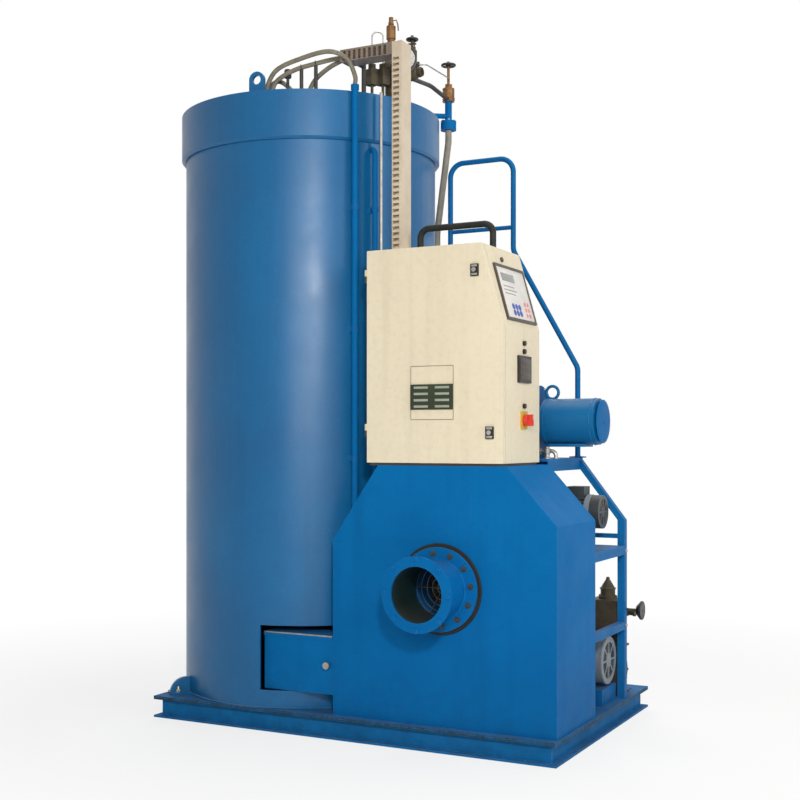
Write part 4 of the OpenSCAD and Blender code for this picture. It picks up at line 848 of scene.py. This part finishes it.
steam_at = Vector((STEAM_X, STEAM_Y, 0))
stop_at = Vector((0.04681, -0.0327, 0))
drain_at = on_ring(0.597, 36.6, 0)
fit = Piece("valve_fittings", "valve_iron")
for x, y in circle(6, 0.042):
    fit.bolt(steam_at + Vector((x, y, TOP + 0.014)), UP, 0.007, 0.006)
fit.lathe([(0.0202, 0), (0.031, 0), (0.031, 0.01), (0.029, 0.012), (0.0202, 0.012)],
          lifted(stop_at, STEAM_Z + 0.03), steps=32)
for x, y in circle(4, 0.0265, 0.6):
    fit.bolt(stop_at + Vector((x, y, STEAM_Z + 0.042)), UP, 0.0045, 0.005)
fit.lathe([(0.0062, 0), (0.0165, 0), (0.0165, 0.012), (0.014, 0.015), (0.0062, 0.015)],
          lifted(stop_at, STEAM_Z + 0.092), steps=6)
for x in (-0.011, 0.011):
    fit.tube([stop_at + Vector((x, 0, STEAM_Z + 0.09)), stop_at + Vector((x, 0, STEAM_Z + 0.121))], 0.0028, 8)
fit.block(stop_at + Vector((-0.016, -0.007, STEAM_Z + 0.117)),
          stop_at + Vector((0.016, 0.007, STEAM_Z + 0.123)), 0.001)
fit.lathe([(0.0182, 0), (0.0215, 0.001), (0.0215, 0.012), (0.0182, 0.013)],
          stop_at + Vector((0.029, 0, STEAM_Z)), RIGHT, 6)
fit.done()

drain_fit = Piece("drain_fittings", "brass")
drain_fit.lathe([(0.0262, 0), (0.03, 0.001), (0.03, 0.013), (0.0262, 0.014)],
                lifted(drain_at, DRAIN_Z + 0.064), steps=6)
drain_fit.lathe([(0.0062, 0), (0.0175, 0), (0.0175, 0.016), (0.015, 0.019), (0.0062, 0.019)],
                lifted(drain_at, DRAIN_Z + 0.12), steps=6)
drain_fit.done()
drain_bolts = Piece("drain_bolts", "zinc")
for x, y in circle(4, 0.0245, 0.5):
    drain_bolts.bolt(drain_at + Vector((x, y, DRAIN_Z - 0.022)), UP, 0.0055, 0.006)
drain_bolts.done()

lever = Piece("safety_lever", "brass")
cap_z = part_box("safety_valve")[1].z
lever.lathe([(0.0092, 0), (0.013, 0.001), (0.013, 0.009), (0.0092, 0.01)],
            lifted(steam_at, cap_z - 0.03), steps=6)
lever.tube([steam_at + Vector((x, y, cap_z - drop)) for x, y, drop in (
    (0.008, 0, 0.014), (0.022, 0.004, 0.012), (0.028, 0.006, 0.03), (0.03, 0.007, 0.055))], 0.0028, 8)
lever.done()


# Machines: motor details, blower bolts, pump fittings and frame bolts

BLOWER_R, BLOWER_PITCH_R, FAN_MOTOR_R = 0.144, 0.137, 0.0902
PUMP_MOTOR_R, UPPER_MOTOR_R, UPPER_AXIS_Z = 0.092, 0.066, 0.139
SHAFT_END = 0.038
blow_lo, blow_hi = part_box("blower_drum")
fan_lo, fan_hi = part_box("fan_motor")
blow_y = (blow_lo.y + blow_hi.y) / 2
blow_z = blow_hi.z - BLOWER_R
screws = Piece("blower_bolts", "zinc")
for y, z in circle(10, BLOWER_PITCH_R):
    screws.bolt((blow_hi.x, blow_y + y, blow_z + z), RIGHT, 0.005, 0.004)
    screws.bolt((blow_lo.x + 0.024, blow_y + y, blow_z + z), LEFT, 0.005, 0.004)
screws.done()
mesh_guard = Piece("blower_guard", "zinc")
mesh_x = blow_lo.x + 0.004
for r in (0.02, 0.04, 0.06, 0.08):
    mesh_guard.ring(r, 0.0015, (mesh_x, blow_y, blow_z), RIGHT, 36, 6)
for y, z in circle(6, 0.0818):
    mesh_guard.tube([(mesh_x, blow_y, blow_z), (mesh_x, blow_y + y, blow_z + z)], 0.0015, 6)
mesh_guard.done()

motor = Piece("fan_motor_trim", "motor_blue")
for x in (fan_lo.x + 0.04, fan_hi.x - 0.03):
    motor.ring(FAN_MOTOR_R, 0.0022, (x, blow_y, blow_z), RIGHT, 56, 8)
motor.block((fan_lo.x + 0.05, blow_y - 0.05, blow_z - 0.098), (fan_lo.x + 0.2, blow_y + 0.05, blow_z - 0.086),
            0.002)
motor.done()
end_cap = Piece("fan_motor_cap", "frame_paint")
end_cap.lathe([(0, 0), (0.083, 0), (0.0845, 0.0012), (0.083, 0.0026), (0.07, 0.0046), (0.035, 0.0062),
               (0.014, 0.0066), (0.013, 0.009), (0.0105, 0.0104), (0, 0.0104)],
              (fan_hi.x - 0.0008, blow_y, blow_z), RIGHT, 56)
end_cap.done()
valve = Piece("platform_valve", "galvanised")
valve_at = Vector((0.628, -0.02, PLATFORM))
valve.lathe([(0, 0), (0.019, 0), (0.019, 0.004), (0.0095, 0.006), (0.0095, 0.018), (0.0135, 0.02),
             (0.0135, 0.038), (0.0085, 0.04), (0.0085, 0.0455), (0.005, 0.047), (0, 0.047)],
            valve_at, steps=24)
valve_path = [valve_at + Vector(step) for step in (
    (-0.036, 0, 0.029), (0, 0, 0.029), (0.022, 0, 0.029), (0.034, 0, 0.018), (0.036, 0, 0.0))]
valve.tube(flowing(valve_path), 0.0075, 12)
valve.lathe([(0.0076, 0), (0.0125, 0), (0.0125, 0.01), (0.0076, 0.01)], valve_path[0], RIGHT, 6)
valve.done()
fan_gland = Piece("fan_motor_gland", "black_plastic")
gland_at = Vector((fan_lo.x + 0.026 + 0.1155, blow_y + 0.126 - 0.018, blow_z - 0.039))
fan_gland.lathe([(0, 0), (0.013, 0), (0.013, -0.009), (0.011, -0.011), (0.011, -0.022), (0.007, -0.026),
                 (0, -0.026)], gland_at, steps=18)
fan_gland.done()

pump_lo, pump_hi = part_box("pump_motor")
pump_y = (pump_lo.y + pump_hi.y) / 2
pump_z = pump_hi.z - PUMP_MOTOR_R
up_lo, up_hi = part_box("upper_motor")
up_y = (up_lo.y + up_hi.y) / 2
up_z = up_lo.z + UPPER_AXIS_Z
grille = Piece("motor_grilles", "gear_dark")
for x, y, z, r in ((pump_hi.x, pump_y, pump_z, PUMP_MOTOR_R), (up_hi.x, up_y, up_z, UPPER_MOTOR_R)):
    grille.lathe([(0.31 * r, 0), (0.77 * r, 0), (0.77 * r, 0.0015), (0.31 * r, 0.0015)],
                 (x - 0.0098, y, z), RIGHT, 40)
    for k in (0.42, 0.53, 0.64, 0.72):
        grille.ring(k * r, 0.0016, (x - 0.0014, y, z), RIGHT, 44, 6)
grille.done()
bands = Piece("motor_bands", "motor_grey")
bands.lathe([(0.0662, 0), (0.0685, 0.001), (0.0685, 0.021), (0.0662, 0.022)],
            (up_hi.x - 0.0625, up_y, up_z), RIGHT, 48)
bands.lathe([(0.0922, 0), (0.094, 0.001), (0.094, 0.006), (0.0922, 0.007)],
            (pump_hi.x - 0.008, pump_y, pump_z), RIGHT, 56)
bands.lathe([(0, 0), (0.018, 0), (0.015, 0.003), (0, 0.004)], (pump_hi.x - 0.0004, pump_y, pump_z), RIGHT, 24)
bands.done()
feet = Piece("motor_foot_bolts", "zinc")
for lo, hi, y, r in ((pump_lo, pump_hi, pump_y, PUMP_MOTOR_R), (up_lo, up_hi, up_y, UPPER_MOTOR_R)):
    length = hi.x - lo.x - SHAFT_END
    for share in (0.3, 0.64):
        for side in (-1, 1):
            feet.bolt((lo.x + SHAFT_END + share * length, y + side * r * 0.62, lo.z + 0.010), UP,
                      0.0065, 0.006)
feet.done()

feed_lo, feed_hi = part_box("feed_pump")
feed_x = post_hi.x - 0.04
feed_y = (feed_lo.y + feed_hi.y) / 2
feed_fit = Piece("feed_pump_fittings", "valve_iron")
for y, z in circle(6, 0.036):
    feed_fit.bolt((feed_x + 0.008, feed_y + y, DECK + 0.095 + z), RIGHT, 0.0048, 0.004)
dome = Vector((feed_x - 0.0625, feed_y, DECK + 0.384))
for x, y in circle(6, 0.034):
    feed_fit.bolt(dome + Vector((x, y, 0.012)), UP, 0.0042, 0.004)
feed_fit.ring(0.0305, 0.003, dome + Vector((0, 0, 0.043)), steps=36)
feed_fit.lathe([(0.012, 0), (0.008, 0.006), (0.008, 0.012), (0.005, 0.016), (0, 0.017)],
               dome + Vector((0, 0, 0.0735)), steps=18)
feed_fit.lathe([(0, 0), (0.017, 0), (0.017, 0.014), (0.013, 0.016), (0.013, 0.034), (0.016, 0.036),
                (0.016, 0.046), (0, 0.046)], (feed_x, feed_hi.y - 0.034, DECK + 0.33), RIGHT, 24)
feed_fit.lathe([(0.0062, 0), (0.013, 0), (0.013, 0.012), (0.010, 0.015), (0.0062, 0.015)],
               (feed_x, feed_lo.y + 0.028, DECK + 0.349), RIGHT, 6)
for x in (feed_lo.x + 0.02, feed_hi.x - 0.078):
    for y in (feed_lo.y + 0.004, feed_hi.y - 0.004):
        feed_fit.bolt((x, y, DECK + 0.008), UP, 0.0036, 0.005, 1.05)
feed_fit.done()

wheel_lo, wheel_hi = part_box("pump_handwheel")
wheel_at = Vector(((wheel_lo.x + wheel_hi.x) / 2 - 0.012, (wheel_lo.y + wheel_hi.y) / 2,
                   (wheel_lo.z + wheel_hi.z) / 2))
knob = Piece("pump_knob", "black_plastic", "pump_wheel")
knob.lathe([(0.0064, 0), (0.018, 0), (0.0195, 0.001), (0.0365, 0.0155), (0.038, 0.0175), (0.038, 0.0225),
            (0.0365, 0.024), (0.031, 0.024), (0.0295, 0.0228), (0.0064, 0.0228), (0.0064, 0)],
           wheel_at, RIGHT, 40)
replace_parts(knob.done(), "pump_handwheel")
knob_face = Piece("pump_knob_face", "gear_dark", "pump_wheel")
knob_face.lathe([(0.0066, 0.0226), (0.029, 0.0226), (0.029, 0.0236), (0.0066, 0.0236), (0.0066, 0.0226)],
                wheel_at, RIGHT, 36)
knob_face.done()

RAIL_Y = 0.277
RAIL_FEET = ((0.0765, PLATFORM - 0.006), (0.6495, PLATFORM))
frame_bolts = Piece("frame_bolts", "zinc")
for z in (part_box("frame_rails")[0].z + 0.016, DECK + 0.593):
    frame_bolts.bolt((post_hi.x, post_lo.y + 0.015, z), RIGHT, 0.0065, 0.005)
rail_feet = Piece("rail_feet", "frame_paint")
for x, z in RAIL_FEET:
    for side in (-1, 1):
        frame_bolts.bolt((x + side * 0.021, RAIL_Y, z), UP, 0.005, 0.005)
    rail_feet.block((x - 0.032, RAIL_Y - 0.014, z), (x + 0.032, RAIL_Y + 0.014, z + 0.005), 0.001)
    rail_feet.ring(0.0115, 0.0025, (x, RAIL_Y, z + 0.006), steps=28)
frame_bolts.done()
rail_feet.done()


# Softened edges on the CAD nodes

soften(0.0035, 3, ["burner_housing"])
soften(0.002, 2, ["cabinet_body", "cabinet_door", "air_duct", "platform"])
soften(0.0012, 2, ["skid_long_channels", "skid_side_channels", "deck_plate", "frame_posts", "frame_rails",
                   "pump_bed", "lifting_lugs", "hold_down_feet", "feed_pump", "side_instruments",
                   "door_latches", "door_vent", "switch_plate", "switch_handle", "display_panel",
                   "blower_drum", "pressure_switches", "upright_trunking", "level_trunking"])


# Stage, light and camera

FLOOR_HALF = 40
# The floor's own light, from its least part near the object to all of it farther out
GLOW_NEAR, GLOW_FAR, GLOW_LEAST = 1.5, 3.4, 0.74
CAMERA_AT, LOOK_X, LOOK_Y = (2.3373, -4.6124, 1.130), -0.4624, 0.8867


def seen_rays(tree):
    """1 for rays from the camera and for mirror and glass rays, and 0 for others."""
    path = tree.nodes.new("ShaderNodeLightPath")
    total = path.outputs["Is Camera Ray"]
    for name in ("Is Glossy Ray", "Is Transmission Ray"):
        n = tree.nodes.new("ShaderNodeMath")
        n.operation = "MAXIMUM"
        tree.links.new(total, n.inputs[0])
        tree.links.new(path.outputs[name], n.inputs[1])
        total = n.outputs[0]
    return total


def stage_floor():
    """A pale floor that looks white and keeps the object's shadow."""
    mesh = bpy.data.meshes.new("studio_floor")
    s = FLOOR_HALF
    mesh.from_pydata([(-s, -s, 0), (s, -s, 0), (s, s, 0), (-s, s, 0)], [], [(0, 1, 2, 3)])
    obj = bpy.data.objects.new("studio_floor", mesh)
    bpy.context.collection.objects.link(obj)
    g = Graph("studio_floor")
    shade = g.mix(g.span(g.noise(0.6, 3), 0.3, 0.7), srgb(250, 250, 248), srgb(244, 244, 242))
    g.finish(shade, g.span(g.noise(4, 3), 0.3, 0.7, 0.75, 0.9), [])
    flat = g.add("ShaderNodeVectorMath", {0: g.coord}, operation="LENGTH")
    away = g.span(flat.outputs["Value"], GLOW_NEAR, GLOW_FAR, GLOW_LEAST, 1.0)
    glow = g.add("ShaderNodeEmission")
    glow.inputs["Strength"].default_value = 1.0
    blend = g.add("ShaderNodeMixShader", {0: g.math("MULTIPLY", seen_rays(g.tree), away)})
    g.tree.links.new(g.bsdf.outputs[0], blend.inputs[1])
    g.tree.links.new(glow.outputs[0], blend.inputs[2])
    g.tree.links.new(blend.outputs[0], g.out.inputs[0])
    mesh.materials.append(g.mat)


def area(name, place, aim, size, watts, colour=(1, 1, 1)):
    """A soft box at a place, turned towards a point."""
    lamp = bpy.data.lights.new(name, "AREA")
    lamp.shape = "RECTANGLE"
    lamp.size, lamp.size_y = size
    lamp.energy = watts
    lamp.color = colour
    obj = bpy.data.objects.new(name, lamp)
    obj.location = place
    obj.rotation_euler = (Vector(aim) - Vector(place)).to_track_quat("-Z", "Y").to_euler()
    bpy.context.collection.objects.link(obj)


def world(diffuse):
    """White where it is seen, and dimmer where it lights the object."""
    w = bpy.data.worlds.new("studio")
    bpy.context.scene.world = w
    w.use_nodes = True
    t = w.node_tree
    t.nodes.clear()
    out = t.nodes.new("ShaderNodeOutputWorld")
    back = t.nodes.new("ShaderNodeBackground")
    level = t.nodes.new("ShaderNodeMapRange")
    level.inputs["To Min"].default_value = diffuse
    level.inputs["To Max"].default_value = 1.0
    t.links.new(seen_rays(t), level.inputs["Value"])
    back.inputs["Color"].default_value = (1, 1, 1, 1)
    t.links.new(level.outputs[0], back.inputs["Strength"])
    t.links.new(back.outputs[0], out.inputs[0])


stage_floor()
world(0.1)
area("key", (1.9, -5.0, 2.05), (-0.2, 0.0, 1.25), (2.2, 2.0), 84, (1, 0.97, 0.93))
area("high", (2.8, -4.7, 2.6), (0.0, 0.0, 1.1), (0.35, 0.35), 88, (1, 0.98, 0.95))
area("side", (5.2, -1.2, 3.0), (0.0, 0.0, 1.2), (2.2, 2.8), 106)
area("top", (0.4, 0.5, 5.8), (0.1, 0.1, 0.0), (2.6, 2.6), 105)
area("back", (-3.0, 4.5, 4.0), (0.0, 0.0, 1.2), (3.0, 2.5), 110)

cam_data = bpy.data.cameras.new("camera")
cam_data.sensor_width = 36
cam_data.lens = 56.25
cam_data.shift_x = 0.01125
cam_data.shift_y = 0.0479
cam_data.clip_end = 200
cam = bpy.data.objects.new("camera", cam_data)
cam.location = CAMERA_AT
cam.rotation_euler = (math.radians(90), 0, math.atan2(-LOOK_X, LOOK_Y))
bpy.context.collection.objects.link(cam)
bpy.context.scene.camera = cam
bpy.context.scene.view_settings.view_transform = "Standard"
